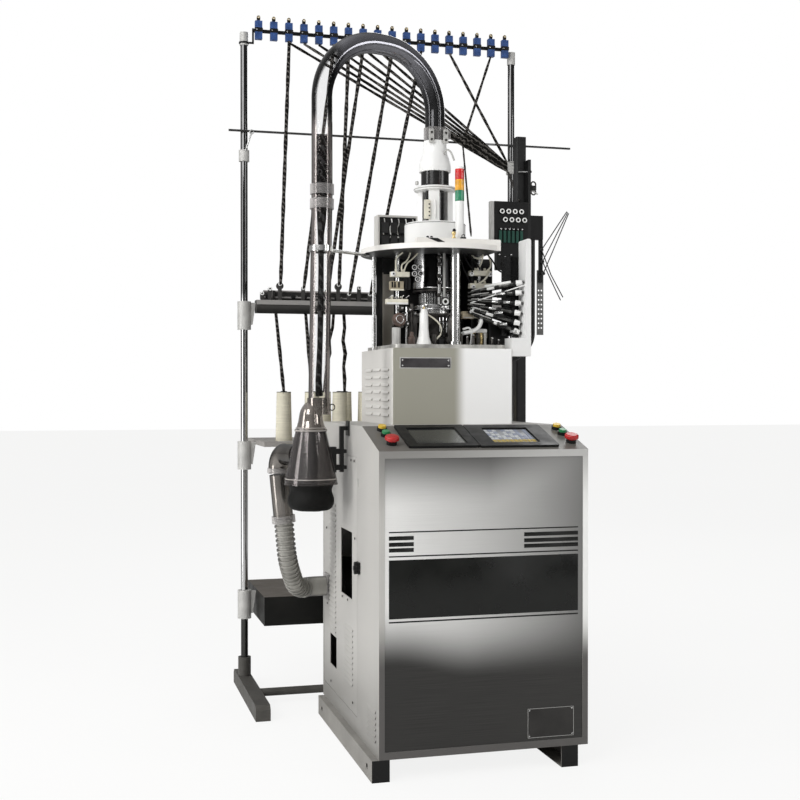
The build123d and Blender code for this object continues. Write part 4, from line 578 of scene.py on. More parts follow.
def cutSheet(material, corners, y, edge=0.4):
    # a flat sheet with (x, z) corners, drawn back from the first depth to the second
    deselect()
    bpy.ops.mesh.primitive_circle_add(vertices=len(corners), radius=0.01, fill_type="NGON")
    piece = bpy.context.object
    for vertex, (x, z) in zip(piece.data.vertices, corners):
        vertex.co = at(x, y[0], z)
    bpy.ops.object.mode_set(mode="EDIT")
    bpy.ops.mesh.select_all(action="SELECT")
    bpy.ops.mesh.extrude_region_move(TRANSFORM_OT_translate={"value": (0, (y[1] - y[0]) / 1000, 0)})
    bpy.ops.mesh.select_all(action="SELECT")
    bpy.ops.mesh.normals_make_consistent(inside=False)
    bpy.ops.object.mode_set(mode="OBJECT")
    piece = settle(material)
    soften(edge)
    return piece


def ringPart(material, place, direction, radius, thickness, sides=24, around=8):
    deselect()
    bpy.ops.mesh.primitive_torus_add(
        location=place, rotation=Vector(direction).to_track_quat("Z", "Y").to_euler(),
        major_radius=radius / 1000, minor_radius=thickness / 1000, major_segments=sides, minor_segments=around,
    )
    piece = settle(material)
    bpy.ops.object.shade_smooth()
    return piece


def wire(material, points, radius, straight=False, sides=3, widths=None):
    # a round cord through the points, each with its own share of the thickness if widths are given
    deselect()
    line = bpy.data.curves.new("wire", "CURVE")
    line.dimensions = "3D"
    line.bevel_depth = radius / 1000
    line.bevel_resolution = sides
    line.resolution_u = 8
    line.use_fill_caps = True
    run = line.splines.new("POLY" if straight else "NURBS")
    run.points.add(len(points) - 1)
    for order, (point, target) in enumerate(zip(points, run.points)):
        target.co = (*point, 1)
        if widths:
            target.radius = widths[order]
    if not straight:
        run.order_u = 3
        run.use_endpoint_u = True
    piece = bpy.data.objects.new("wire", line)
    scene.collection.objects.link(piece)
    bpy.context.view_layer.objects.active = piece
    piece.select_set(True)
    bpy.ops.object.convert(target="MESH")
    piece = settle(material)
    bpy.ops.object.shade_smooth_by_angle(angle=0.9)
    return piece


def copies(piece, steps):
    # the piece again at each step, in millimetres, every copy with its own mesh
    made = [piece]
    for step in steps:
        again = piece.copy()
        again.data = piece.data.copy()
        again.data.transform(Matrix.Translation(Vector(step) / 1000))
        scene.collection.objects.link(again)
        made.append(again)
    return made


def steps(places):
    # from the first place to each of the others
    return [tuple(there - here for here, there in zip(places[0], place)) for place in places[1:]]


def studs(material, rings, places, direction=toFront, sides=12, edge=0.2):
    # one turned piece and its copies at the other places
    return copies(turned(material, rings, at(*places[0]), direction, sides, edge), steps(places))


def cables(material, radius, runs):
    # smooth cords, each through its own places
    return [wire(material, [at(*point) for point in run], radius) for run in runs]


def gather(name, parts, body="frame", replaces=()):
    deselect()
    for part in parts:
        part.select_set(True)
    bpy.context.view_layer.objects.active = parts[0]
    if len(parts) > 1:
        bpy.ops.object.join()
    piece = bpy.context.object
    piece.name = piece.data.name = name
    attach(piece, body)
    if replaces:
        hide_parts(*replaces)
    return piece


# ---- front print: bare band field, bars and pinstripes
frontPrint = {
    "across": (28, 580), "depth": (1.6, 2.05), "field": (441, 601),
    "pinstripes": ((675, 678.5), (609, 612.5), (430, 434)),
    "bars": ((655, 666), (638, 649), (622.5, 633.5)), "barsLeft": (28, 98), "barsRight": (418, 580),
}


def makeFrontPrint(p):
    fields = [(p["across"], p["field"])] + [(p["across"], stripe) for stripe in p["pinstripes"]]
    for height in p["bars"]:
        fields += [(p["barsLeft"], height), (p["barsRight"], height)]
    gather("front_print", [block(printBlack, x, p["depth"], z, 0.1) for x, z in fields])


makeFrontPrint(frontPrint)

namePlate = {"x": (429, 567), "z": (89, 171), "inset": 5}


def cornersOf(p, y):
    # places of the fasteners in a plate's corners
    low, high = (side + inset for side, inset in zip(p["z"], (p["inset"], -p["inset"])))
    left, right = (side + inset for side, inset in zip(p["x"], (p["inset"], -p["inset"])))
    return ((left, y, low), (right, y, low), (left, y, high), (right, y, high))


def makeNamePlate(p):
    plateMetal = finish("platedSheet", (0.03, 0.028, 0.026), 0.42, metal=0.3, uneven=0.1, scale=20, bump=0.05)
    left, right = p["x"]
    low, high = p["z"]
    parts = [block(plateMetal, p["x"], (1.2, 2.1), p["z"], 0.3)]
    # fine light line around the edge
    for x, z in (
        (p["x"], (low, low + 1)), (p["x"], (high - 1, high)), ((left, left + 1), p["z"]), ((right - 1, right), p["z"])
    ):
        parts.append(block(lightMetal, x, (0.9, 1.4), z, 0.1))
    rivet = ((0, 2.4), (0.6, 2.2), (1.1, 1.2))
    parts += studs(machined, rivet, cornersOf(p, 1.3), sides=16, edge=0.1)
    gather("bare_plate", parts)


makeNamePlate(namePlate)

headPlate = {"x": (150, 306), "z": (1131, 1159), "y": (332.6, 334.1), "inset": 6, "border": 3}


def makeHeadPlate(p):
    plateTone = finish("headPlate", (0.05, 0.045, 0.048), 0.4, metal=0.2, uneven=0.15, scale=30, bump=0.05)
    left, right = p["x"]
    low, high = p["z"]
    border = p["border"]
    parts = [block(lightMetal, (left - border, right + border), (333.4, 334.1), (low - border, high + border), 0.2)]
    parts.append(block(plateTone, p["x"], p["y"], p["z"], 0.3))
    parts += studs(machined, ((0, 3), (0.8, 2.8), (1.4, 1.6)), cornersOf(p, 332.8), sides=14, edge=0.1)
    gather("head_plate", parts)


makeHeadPlate(headPlate)
print("front print made")

# ---- cabinet: screws of the side panel
sideScrews = {
    "x": -3.8,
    "places": (
        (683, 618), (672, 375), (616, 136), (306, 142), (447, 434), (373, 435), (283, 856), (324, 856), (275, 630),
    ),
}


def makeSideScrews(p):
    places = [(p["x"], y, z) for y, z in p["places"]]
    gather("side_screws", studs(darkSteel, ((0, 4.2), (1, 4), (2, 2.2)), places, (-1, 0, 0), 16))


makeSideScrews(sideScrews)

# ---- keypad: membrane field with raised keys
keypad = {
    "centre": (413, 106), "field": (138, 123), "columns": 10, "rows": 7,
    "key": (11, 13), "margin": 6,
}


def makeKeypad(p):
    keyWhite = finish("keyWhite", (0.6, 0.62, 0.64), 0.4, uneven=0.1, scale=90)
    keyBlue = finish("keyBlue", (0.3, 0.33, 0.42), 0.4, uneven=0.1, scale=90)
    keyYellow = finish("keyYellow", (0.5, 0.36, 0.06), 0.4, uneven=0.15, scale=90)
    film = finish("membraneFilm", (0.3, 0.31, 0.33), 0.35, uneven=0.05, scale=20)

    def pad(material, place, width, length, low, high, edge):
        deselect()
        u, v = place
        bpy.ops.mesh.primitive_cube_add(
            size=1, location=onConsole(u, v, (low + high) / 2), rotation=(deckSlope, 0, 0)
        )
        bpy.context.object.scale = (width / 1000, length / 1000, (high - low) / 1000)
        piece = settle(material)
        soften(edge)
        return piece

    u, v = p["centre"]
    wide, deep = p["field"]
    parts = [pad(film, (u, v), wide - 1, deep - 1, -1, 1.2, 0.4)]
    wide, deep = wide - p["margin"], deep - p["margin"]
    keys = {keyYellow: [], keyWhite: [], keyBlue: []}
    for row in range(p["rows"]):
        for column in range(p["columns"]):
            if row >= 4 and column in (3, 8):
                continue
            if row < 2:
                material = keyYellow
            elif (row + column) % 3 == 1 or column > 6:
                material = keyBlue
            else:
                material = keyWhite
            across = (column + 0.5) * wide / p["columns"] - wide / 2
            keys[material].append((u + across, v + (row + 0.5) * deep / p["rows"] - deep / 2))
    for material, places in keys.items():
        key = pad(material, places[0], *p["key"], 1, 2.4, 0.5)
        parts += copies(key, [(onConsole(*place) - onConsole(*places[0])) * 1000 for place in places[1:]])
    gather("keypad_keys", parts, replaces=("keypad",))


makeKeypad(keypad)
print("keypad made")

# ---- the sock on its way through the clear pipe
sockRun = {
    "knit": (316, 530), "left": (-75, 405), "crown": 2131, "bend": 192, "foot": 1856, "end": 1650,
    "bell": (-90, 380, 1045), "thick": 23,
    # shares of the way down, and shares of the thickness there
    "fall": ((0.12, 0.62), (0.2, 0.42), (0.35, 0.36), (0.55, 0.4), (0.75, 0.36), (0.92, 0.42), (1, 0.5)),
    "head": ((1822, 0.9), (1760, 1), (1700, 0.8)), "sway": 1.6,
}


def makeSockRun(p):
    start, over = Vector(p["knit"]), Vector(p["left"])
    line = (over - start).normalized()
    low = p["crown"] - p["bend"]

    def rising(angle):
        spotOn = start + line * p["bend"] * (1 - math.cos(angle))
        return at(*spotOn, low + p["bend"] * math.sin(angle))

    points = [at(*start, p["foot"] - 20), at(*start, low - 30)]
    points += [rising(math.radians(angle)) for angle in (0, 22, 45, 68, 90)]
    widths = (1, 1, 0.95, 0.85, 0.6, 0.34, 0.05)
    parts = [wire(sockBlack, points, p["thick"], straight=True, sides=5, widths=widths)]
    # it hangs loosely down to the bell
    drop = Vector((*over, p["end"]))
    points = [at(*over, height) for height, wide in p["head"]]
    for part, wide in p["fall"]:
        spotOn = drop.lerp(Vector(p["bell"]), part)
        points.append(at(spotOn.x + p["sway"] * math.sin(part * 26), spotOn.y, spotOn.z))
    widths = [wide for part, wide in p["head"] + p["fall"]]
    parts.append(wire(sockBlack, points, p["thick"], straight=True, sides=5, widths=widths))
    gather("sock_run", parts)


makeSockRun(sockRun)

bellTrim = {
    # height, radius, thickness and sides of each ring
    "centre": (-114, 380), "rings": ((943, 47, 2.2, 40), (951, 44, 1.4, 40), (800, 77, 1.5, 48)),
    "loop": (-52, 368, 1012), "loopFoot": (-58, 372, 1012),
}


def makeBellTrim(p):
    ringMetal = clearPlastic("bellRing", (0.6, 0.56, 0.52), 0.12, 0.5, 0.95, 0.2)
    parts = [ringPart(ringMetal, at(*p["centre"], z), upright, *shape) for z, *shape in p["rings"]]
    gather("bell_rings", parts)
    # small black loop on the bracket's side of the dome
    x, y, z = p["loop"]
    parts = [ringPart(blackSteel, at(x, y, z), (0.3, -1, 0), 9, 1.6)]
    parts.append(bar(blackSteel, at(x - 9, y + 3, z), at(*p["loopFoot"]), 2))
    gather("bell_loop", parts)


makeBellTrim(bellTrim)

bellBoot = {
    "place": (-114, 380, 703), "lumps": 5, "grain": 0.05,
    "rings": ((0, 34), (2, 52), (9, 63), (19, 69), (33, 71), (47, 68), (57, 63), (65, 63), (75, 68), (84, 70)),
}


def makeBellBoot(p):
    # gathered rubber cap that hangs under the rim
    piece = turned(blackRubber, p["rings"], at(*p["place"]), sides=40)
    smooth = piece.modifiers.new("smooth", "SUBSURF")
    smooth.levels = smooth.render_levels = 1
    bpy.ops.object.modifier_apply(modifier=smooth.name)
    clouds = bpy.data.textures.new("bootLumps", "CLOUDS")
    clouds.noise_scale = p["grain"]
    lumps = piece.modifiers.new("lumps", "DISPLACE")
    lumps.texture = clouds
    lumps.texture_coords = "LOCAL"
    lumps.strength = p["lumps"] / 1000
    lumps.mid_level = 0.7
    bpy.ops.object.modifier_apply(modifier=lumps.name)
    bpy.ops.object.shade_smooth()
    gather("boot_cap", [piece], replaces=("bell_boot",))


makeBellBoot(bellBoot)
print("pipe dressed")

# ---- knitting head: small gear on the bed, between the columns
headLeft = {
    "guardEdge": ((141, 161.5), (598, 601), (1203, 1489)),
    "cables": (
        ((170, 462, 1430), (166, 456, 1462), (172, 456, 1478), (190, 456, 1489)),
        ((195, 462, 1430), (200, 456, 1456), (222, 456, 1470), (238, 456, 1489)),
        ((188, 458, 1430), (182, 456, 1452), (205, 456, 1462), (214, 456, 1489)),
    ),
    "cap": (158, 451, 1422), "tanBlock": ((150, 192), (452, 472), (1373, 1400)),
    "slot": ((153, 158), (450.5, 453), (1380, 1398)), "slotSteps": ((8, 0, 0), (21, 0, 0)),
    "tanFoot": ((150, 192), (449, 455), (1371, 1376)),
    "stub": ((196, 204), (452, 470), (1375, 1412)), "stubSteps": ((10, 0, 0),),
    "spools": ((226, 1444), (244, 1446), (226, 1424), (246, 1426), (236, 1408)),
    "needlePlate": ((137, 205), (446, 452), (1328, 1334)), "plateScrews": (146, 163, 182, 199),
    "cylinder": (162, 430, 1202), "disc": (168, 432, 1278), "discRim": (170, 415, 1281),
    "ledge": ((150, 186), (430, 446), (1255, 1262)), "bottle": (206, 412, 1202), "standard": (244, 408, 1202),
    "nuts": ((190, 1296), (198, 1268), (222, 1300), (180, 1316), (206, 1312)),
    "rod": (196, 436, 1320), "post": (214, 440, 1330),
}


def makeHeadLeft(p):
    # folded edge of the rear guard, then the cream valve's cables and its white cap
    parts = [block(blackSteel, *p["guardEdge"], 0.5)]
    parts += cables(creamPlastic, 2.4, p["cables"])
    x, y, z = p["cap"]
    parts.append(turned(whitePlastic, ((0, 8), (3, 8), (6, 5)), at(x, y, z), toFront, 20))
    parts.append(turned(blackPlastic, ((0, 3), (2, 2.4)), at(x, y - 6, z), toFront, 14, 0.1))
    # tan block with black slots under the valve
    parts.append(block(tanBlock, *p["tanBlock"], 1))
    parts += copies(block(blackPlastic, *p["slot"], 0.4), p["slotSteps"])
    parts.append(block(creamPlastic, *p["tanFoot"], 0.6))
    parts += copies(block(blackPlastic, *p["stub"], 1), p["stubSteps"])
    # black spools before the sleeve, with white rings as painted highlights on their rims
    spool = ((0, 9), (2, 9.5), (3, 6), (9, 6), (10, 9.5), (12, 9))
    spools = [(x, 462, z) for x, z in p["spools"]]
    parts += studs(blackPlastic, spool, spools, sides=20, edge=0.3)
    x, y, z = spools[0]
    parts += copies(ringPart(whitePlastic, at(x, 449.5, z), toFront, 7.2, 1.3, 18, 6), steps(spools))
    parts += studs(machined, ((0, 2.6), (2, 2.2)), [(x, 450, z) for x, y, z in spools], edge=0.1)
    # white plate at needle height, with its screws and levers
    parts.append(block(whitePlastic, *p["needlePlate"], 0.6))
    screws = [(x, 456, 1345) for x in p["plateScrews"]]
    parts += studs(darkSteel, ((0, 4.5), (3, 4.5), (4.5, 3)), screws, upright, 14)
    x = p["plateScrews"][0]
    parts += copies(bar(machined, at(x, 452, 1349), at(x + 9, 446, 1356), 1.6, 10), steps(screws))
    # grey cylinder under a brown disc, small brown bottle and the white standard
    cylinder = ((0, 15), (3, 15), (5, 13.5), (52, 13.5), (54, 11))
    parts.append(turned(lightMetal, cylinder, at(*p["cylinder"]), sides=30))
    facing = (0.1, -1, 0.15)
    parts.append(turned(brownCap, ((0, 19), (4, 21), (14, 21), (18, 17)), at(*p["disc"]), facing, 32, 0.8))
    parts.append(ringPart(machined, at(*p["discRim"]), facing, 12, 1.4))
    parts.append(block(darkSteel, *p["ledge"], 1))
    bottle = ((0, 10), (4, 11), (22, 11), (28, 6), (38, 6), (40, 4))
    parts.append(turned(brownCap, bottle, at(*p["bottle"]), sides=22))
    standard = ((0, 24), (6, 23), (24, 17), (50, 14), (96, 13), (102, 10), (110, 9))
    x, y, z = p["standard"]
    parts.append(turned(whitePlastic, standard, at(x, y, z), sides=30, edge=0.8))
    parts.append(turned(brass, ((0, 4), (6, 4), (8, 2.5)), at(x, y, z + 110), sides=14, edge=0.2))
    nuts = [(x, 430, z) for x, z in p["nuts"]]
    x, y, z = nuts[0]
    parts += copies(block(darkSteel, (x - 6, x + 6), (y, y + 18), (z - 7, z + 7), 1.5), steps(nuts))
    parts += studs(machined, ((0, 3.6), (2.5, 3.2)), nuts)
    for material, radius, (x, y, z) in ((chrome, 3.5, p["rod"]), (darkSteel, 5, p["post"])):
        parts.append(bar(material, at(x, y, 1202), at(x, y, z), radius))
    gather("head_gear_left", parts)


headMiddle = {
    "creamCable": ((262, 424, 1296), (296, 418, 1276), (306, 412, 1240), (284, 404, 1222), (268, 400, 1203)),
    "blackCable": ((330, 418, 1296), (312, 408, 1262), (296, 404, 1230), (318, 400, 1206)),
    "pins": ((300, 424, 1288), (311, 424, 1290), (322, 424, 1286)), "pinLong": 44,
    "knob": (300, 410, 1204), "screw": (275, 402, 1203), "sleeve": (316, 530),
    "sleeveRims": ((chrome, 1385, 69, 2.6), (darkSteel, 1376, 67, 4), (chrome, 1318, 73, 1.8)),
    "support": ((machined, 303, 440, 5), (lightMetal, 318, 436, 4)), "levers": (1352, 1392, 1412, 1448, 1470),
    "eyelet": (320, 428, 1338), "holder": ((312, 330), (430, 448), (1326, 1352)),
}


def makeHeadMiddle(p):
    # cables down to the bed and the silver pins by the needles
    parts = cables(creamPlastic, 2.6, (p["creamCable"],)) + cables(blackRubber, 2.2, (p["blackCable"],))
    x, y, z = p["pins"][0]
    parts += copies(bar(chrome, at(x, y, z - p["pinLong"]), at(x, y, z), 2), steps(p["pins"]))
    parts.append(turned(blackPlastic, ((0, 12), (4, 13), (16, 13), (20, 9)), at(*p["knob"]), sides=24))
    parts.append(turned(darkSteel, ((0, 8), (3, 8.4), (30, 8.4), (33, 6)), at(*p["screw"]), sides=20))
    # rims of the sleeve
    for material, z, radius, thickness in p["sleeveRims"]:
        parts.append(ringPart(material, at(*p["sleeve"], z), upright, radius, thickness, 48))
    # front support with levers, left of the round column
    for material, x, y, radius in p["support"]:
        parts.append(bar(material, at(x, y, 1330), at(x, y, 1489), radius))
    collar = ((0, 7), (2, 7.6), (10, 7.6), (12, 7))
    parts += studs(darkSteel, collar, [(303, 440, z) for z in p["levers"]], upright, 18, 0.4)
    parts += studs(machined, ((0, 3), (3, 2.6)), [(306, 432, z + 6) for z in p["levers"]])
    parts.append(ringPart(whitePlastic, at(*p["eyelet"]), toFront, 8, 2.6, 22))
    parts.append(block(darkSteel, *p["holder"], 2))
    gather("head_gear_middle", parts)


headRight = {
    "creamCables": (
        ((452, 456, 1489), (446, 448, 1470), (438, 450, 1450), (432, 460, 1440)),
        ((470, 456, 1489), (478, 446, 1462), (468, 448, 1440), (456, 460, 1436)),
        ((470, 446, 1440), (462, 440, 1420), (444, 446, 1402), (436, 460, 1398)),
        ((420, 470, 1489), (424, 450, 1478), (440, 446, 1476), (450, 448, 1489)),
    ),
    "blackCables": (
        ((382, 440, 1489), (392, 432, 1462), (410, 436, 1440), (416, 452, 1432)),
        ((396, 440, 1489), (410, 430, 1470), (430, 434, 1452), (440, 452, 1444)),
        ((372, 452, 1489), (384, 446, 1440), (400, 452, 1420), (414, 462, 1390)),
        ((462, 440, 1489), (480, 432, 1466), (488, 430, 1440), (500, 404, 1430)),
    ),
    "airCaps": ((412, 1428), (474, 1428), (470, 1388), (474, 1390), (418, 1388)),
    "tanBlock": ((381, 416), (442, 466), (1287, 1310)), "tanFoot": ((383, 414), (440, 444), (1289, 1292)),
    "bend": (
        (404, 438, 1304), (414, 430, 1322), (436, 430, 1318), (440, 430, 1284), (428, 428, 1256), (400, 420, 1244),
        (372, 414, 1240),
    ),
    "hose": ((372, 414, 1252), (392, 414, 1262), (402, 416, 1240), (400, 416, 1212), (396, 416, 1203)),
    "whiteCap": ((411, 461), (440, 468), (1243, 1256)),
    "posts": ((416, brass), (428, darkSteel), (442, brass), (455, lightMetal)),
    "levers": ((362, 400, 34), (380, 396, 22), (398, 392, 28), (470, 420, 20), (486, 404, 14)),
}


def makeHeadRight(p):
    # cables that loop from the valves up to the plate, and the valves' white caps
    parts = cables(creamPlastic, 2.8, p["creamCables"]) + cables(blackRubber, 2.4, p["blackCables"])
    caps = [(x, 452, z) for x, z in p["airCaps"]]
    parts += studs(whitePlastic, ((0, 7), (3, 7.4), (7, 5)), caps, sides=18, edge=0.4)
    parts += studs(blackPlastic, ((0, 2.6), (1.4, 2.2)), [(x, 445.5, z) for x, z in p["airCaps"]], edge=0.1)
    # tan block, white bend and its hose
    parts.append(block(tanBlock, *p["tanBlock"], 1))
    parts.append(block(lightMetal, *p["tanFoot"], 0.4))
    parts.append(wire(whitePlastic, [at(*point) for point in p["bend"]], 6.5, sides=4))
    parts += cables(whitePlastic, 3.4, (p["hose"],))
    # white cap on four posts
    parts.append(block(whitePlastic, *p["whiteCap"], 3))
    for x, material in p["posts"]:
        parts.append(bar(material, at(x, 444, 1203), at(x, 444, 1243), 4.6))
    # low levers on the bed with bright heads
    for x, y, tall in p["levers"]:
        parts.append(turned(darkSteel, ((0, 8), (3, 8), (4, 5), (tall, 5), (tall + 2, 4)), at(x, y, 1202), sides=18))
        parts.append(turned(machined, ((0, 4), (3, 4.4), (5, 3)), at(x, y, 1202 + tall + 2), sides=14, edge=0.2))
    gather("head_gear_right", parts)


feederEnds = {
    "nearX": 396, "farX": 549.7,
    "heights": ((1398, 1368), (1366, 1356), (1332, 1344), (1300, 1332), (1268, 1320), (1240, 1308)),
    "white": (0, 4, 5), "stay": ((401, 430, 1335), (560, 348, 1391)), "rail": ((440, 404, 1386), (512, 366, 1398)),
    "clips": ((464, 1303), (478, 1268), (512, 1246), (490, 1336), (470, 1362)),
}


def makeFeederEnds(p):
    # each feeder tube ends in a white knob on the bracket and carries clips on its way
    parts = []
    for step, (farZ, nearZ) in enumerate(p["heights"]):
        near, far = at(p["nearX"], 436 + step / 2, nearZ), at(p["farX"], 350 + 5 * step, farZ)
        line = far - near
        side = Vector((0, -0.006, 0.004))

        def sleeve(material, start, end, *shape):
            parts.append(bar(material, near + line * start, near + line * end, *shape))

        sleeve(whitePlastic, 0.86, 0.97, 9.5, 20, 2, 7)
        sleeve(blackPlastic, 0.81, 0.85, 8.5, 16)
        bright = 0.34 + 0.05 * (step * 3 % 4)
        sleeve(whitePlastic if step in p["white"] else machined, bright, bright + 0.13, 5, 16)
        sleeve(blackPlastic, bright + 0.15, bright + 0.22, 8, 14)
        sleeve(blackPlastic, 0.12, 0.22, 6.4, 14)
        wireEnd = near + line * (0.3 + 0.06 * (step % 3))
        parts.append(bar(lightMetal, near + line * 0.05 + side, wireEnd + side * 1.6, 1.5, 10))
        parts.append(bar(blackRubber, near + line * 0.2 - side, near + line * 0.9 - side * 2, 3.2, 10))
    for key, radius, sides in (("stay", 2, 12), ("rail", 4, 16)):
        start, end = p[key]
        parts.append(bar(whitePlastic, at(*start), at(*end), radius, sides))
    places = [(x, 0, z) for x, z in p["clips"]]
    x, y, z = places[0]
    parts += copies(block(machined, (x, x + 24), (372, 384), (z - 4, z + 4), 1.2), steps(places))
    parts += copies(block(blackPlastic, (x + 6, x + 34), (386, 398), (z - 12, z - 3), 1.5), steps(places))
    gather("feeder_ends", parts)


makeHeadLeft(headLeft)
makeHeadMiddle(headMiddle)
makeHeadRight(headRight)
makeFeederEnds(feederEnds)
print("knitting head dressed")

# ---- top plate and tower
towerTrim = {
    "recess": ((236, 1523), (268, 1523), (302, 1506), (282, 1506)), "knob": (322, 350), "clip": (352, 352),
    "plateScrews": ((238, 346, 1524), (250, 346, 1524)), "axis": (316, 530),
    "terminals": ((266, 284), (474, 486), (1600, 1660)), "terminalScrews": (1610, 1622, 1634, 1646),
    "seams": ((darkSteel, 1512, 97.6, 0.9, 56), (darkSteel, 1586, 97, 0.9, 56), (lightMetal, 1700, 66.5, 1.4, 48)),
    "hook": ((332, 496, 1806), (340, 486, 1824), (352, 480, 1816), (358, 476, 1800), (362, 474, 1786)),
    "bolts": ((248, 500, 1708), (382, 500, 1708)), "straps": (293, 340),
    "valveBack": ((162, 286), (644, 647), (1512, 1624)), "valves": (176, 24, 5),
}


def makeTowerTrim(p):
    # dark slanting recess on the rail's face, knob and clip on its top
    parts = [cutSheet(blackSteel, p["recess"], (338.6, 341))]
    x, y = p["knob"]
    knob = ((0, 7), (4, 7), (5, 4), (12, 4), (13, 6.5), (20, 6.5), (22, 4))
    parts.append(turned(brass, knob, at(x, y, 1524), sides=20))
    parts.append(turned(blackPlastic, ((0, 5), (4, 5.4), (8, 3)), at(x + 1, y - 1, 1546), sides=16))
    x, y = p["clip"]
    parts.append(block(blackSteel, (x - 8, x + 8), (y - 8, y + 4), (1524, 1529), 1))
    parts.append(ringPart(blackSteel, at(x, y - 4, 1532), toFront, 5, 1.3, 18))
    parts += studs(blackSteel, ((0, 4), (3, 4.4), (5, 3)), p["plateScrews"], upright, 14)
    gather("plate_fittings", parts)

    # cream terminal block in the cage, thin dark seams of the drum, bolts at the pipe's foot
    parts = [block(creamPlastic, *p["terminals"], 1.5)]
    parts += studs(blackPlastic, ((0, 2.6), (1.5, 2.2)), [(281, 474, z) for z in p["terminalScrews"]], edge=0.1)
    parts.append(turned(whitePlastic, ((0, 2.4), (56, 2.4)), at(300, 472, 1603), sides=12))
    for material, z, radius, thickness, sides in p["seams"]:
        parts.append(ringPart(material, at(*p["axis"], z), upright, radius, thickness, sides, 6))
    bolt = ((0, 5), (3, 5.4), (10, 5.4), (12, 4))
    parts += studs(lightMetal, bolt, p["bolts"], upright, 16, 0.4)
    gather("tower_fittings", parts)

    # lifting hook that curls out of the cone, and the straps of the pipe clamp
    parts = [wire(lightMetal, [at(*point) for point in p["hook"]], 3, sides=4)]
    for x in p["straps"]:
        parts.append(block(lightMetal, (x - 8, x + 8), (488, 496), (1842, 1886), 1.5))
        parts += studs(darkSteel, ((0, 4), (2.5, 3.6)), ((x, 488, 1874), (x, 488, 1852)), sides=14)
    gather("tower_hook", parts)

    # valve box: black inside with valves and cables
    parts = [block(blackPlastic, *p["valveBack"], 0.6)]
    first, pitch, count = p["valves"]
    for step in range(count):
        x = first + pitch * step
        parts.append(block(blackPlastic, (x - 9, x + 9), (641, 646), (1522, 1572), 1))
        run = ((x, 642, 1568), (x - 6, 640, 1590), (x + 6, 640, 1604), (x + 2, 642, 1620))
        parts += cables(whitePlastic if step % 2 else lightMetal, 1.8, (run,))
        parts.append(turned(whitePlastic, ((0, 3), (2, 2.4)), at(x, 641, 1560), toFront, 12, 0.1))
    gather("valve_inside", parts)


makeTowerTrim(towerTrim)

# ---- feeder block with its eyelets and the clip above
feederTrim = {
    "eyelets": (599, 684.4, 1666), "pitch": 23, "lowerRow": (11, -28),
    "sideStrip": ((559, 573.2), (692, 712), (1566, 1700)), "screws": (593.5, 15, 6),
    "lowScrews": (
        (590, 1520), (610, 1512), (632, 1520), (655, 1508), (676, 1520), (600, 1490), (640, 1486), (668, 1490),
    ),
    "rings": ((714, 694, 1762), (714, 694, 1736)), "clipBody": ((700, 724), (690, 706), (1742, 1758)),
    "stay": ((700, 700, 1749), (728, 690, 1728)), "pin": ((662, 700, 1803), (700, 696, 1805)),
}


def makeFeederTrim(p):
    row = [(p["pitch"] * column, 0, 0) for column in range(4)]
    shift, down = p["lowerRow"]
    row += [(x + shift, 0, down) for x, y, z in row]
    eyelet = ringPart(whitePlastic, at(*p["eyelets"]), toFront, 6.6, 2.2, 20)
    gather("feeder_eyelets", copies(eyelet, row[1:]))

    parts = [block(lightMetal, *p["sideStrip"], 2)]
    first, pitch, count = p["screws"]
    screws = [(first + pitch * step, 685.5, 1606) for step in range(count)]
    parts += studs(machined, ((0, 3.4), (4, 3.4), (6, 2.4)), screws)
    parts += studs(machined, ((0, 3.6), (5, 3.6), (7, 2.2)), [(x, 691, z) for x, z in p["lowScrews"]])
    gather("feeder_trim", parts)

    # two rings on a small clip with its pin and stay
    parts = copies(ringPart(darkSteel, at(*p["rings"][0]), (0.2, -1, 0), 9, 2.6, 20), steps(p["rings"]))
    parts.append(block(blackSteel, *p["clipBody"], 2))
    start, end = p["stay"]
    parts.append(bar(lightMetal, at(*start), at(*end), 2.4))
    start, end = p["pin"]
    parts.append(bar(machined, at(*start), at(*end), 2.2))
    parts.append(turned(darkSteel, ((0, 4), (6, 4.4), (8, 3)), at(*end), (1, 0, 0), 14))
    gather("clip_pair", parts)


makeFeederTrim(feederTrim)
print("tower and feeder dressed")

# ---- yarn stand: rims of the cones, eyes and eyelets of the guides, clips of the long rod
creelTrim = {
    "frontCones": (-85, 1034, 100), "rearCones": (98, 1232, 78), "coneTop": 1057.2, "coneTip": 25,
    "tensioners": (-161, 54.3, 18), "eye": (1110.6, 2383.5), "tensionerScrew": (-168, 1104.6, 2338),
    "posts": (
        (-150, 30), (-122, 47), (-86, 64), (-2, 52), (85, 44), (126, 66), (165, 34), (203, 57), (242, 34), (300, 64),
        (370, 44), (440, 64), (520, 44), (600, 64)
    ),
    "discs": (92, 134, 250, 330), "rodScrews": (-104, -20, 62, 142, 226, 318, 404, 486, 566, 640),
    "stay": ((-186, 1112, 1974), (-208, 1116, 1908)), "stayEye": (-186, 1112, 1976),
    "clip": ((770, 1916), (800, 1920), (798, 1876), (772, 1872)), "hooks": (1886, 1900, 1912),
}


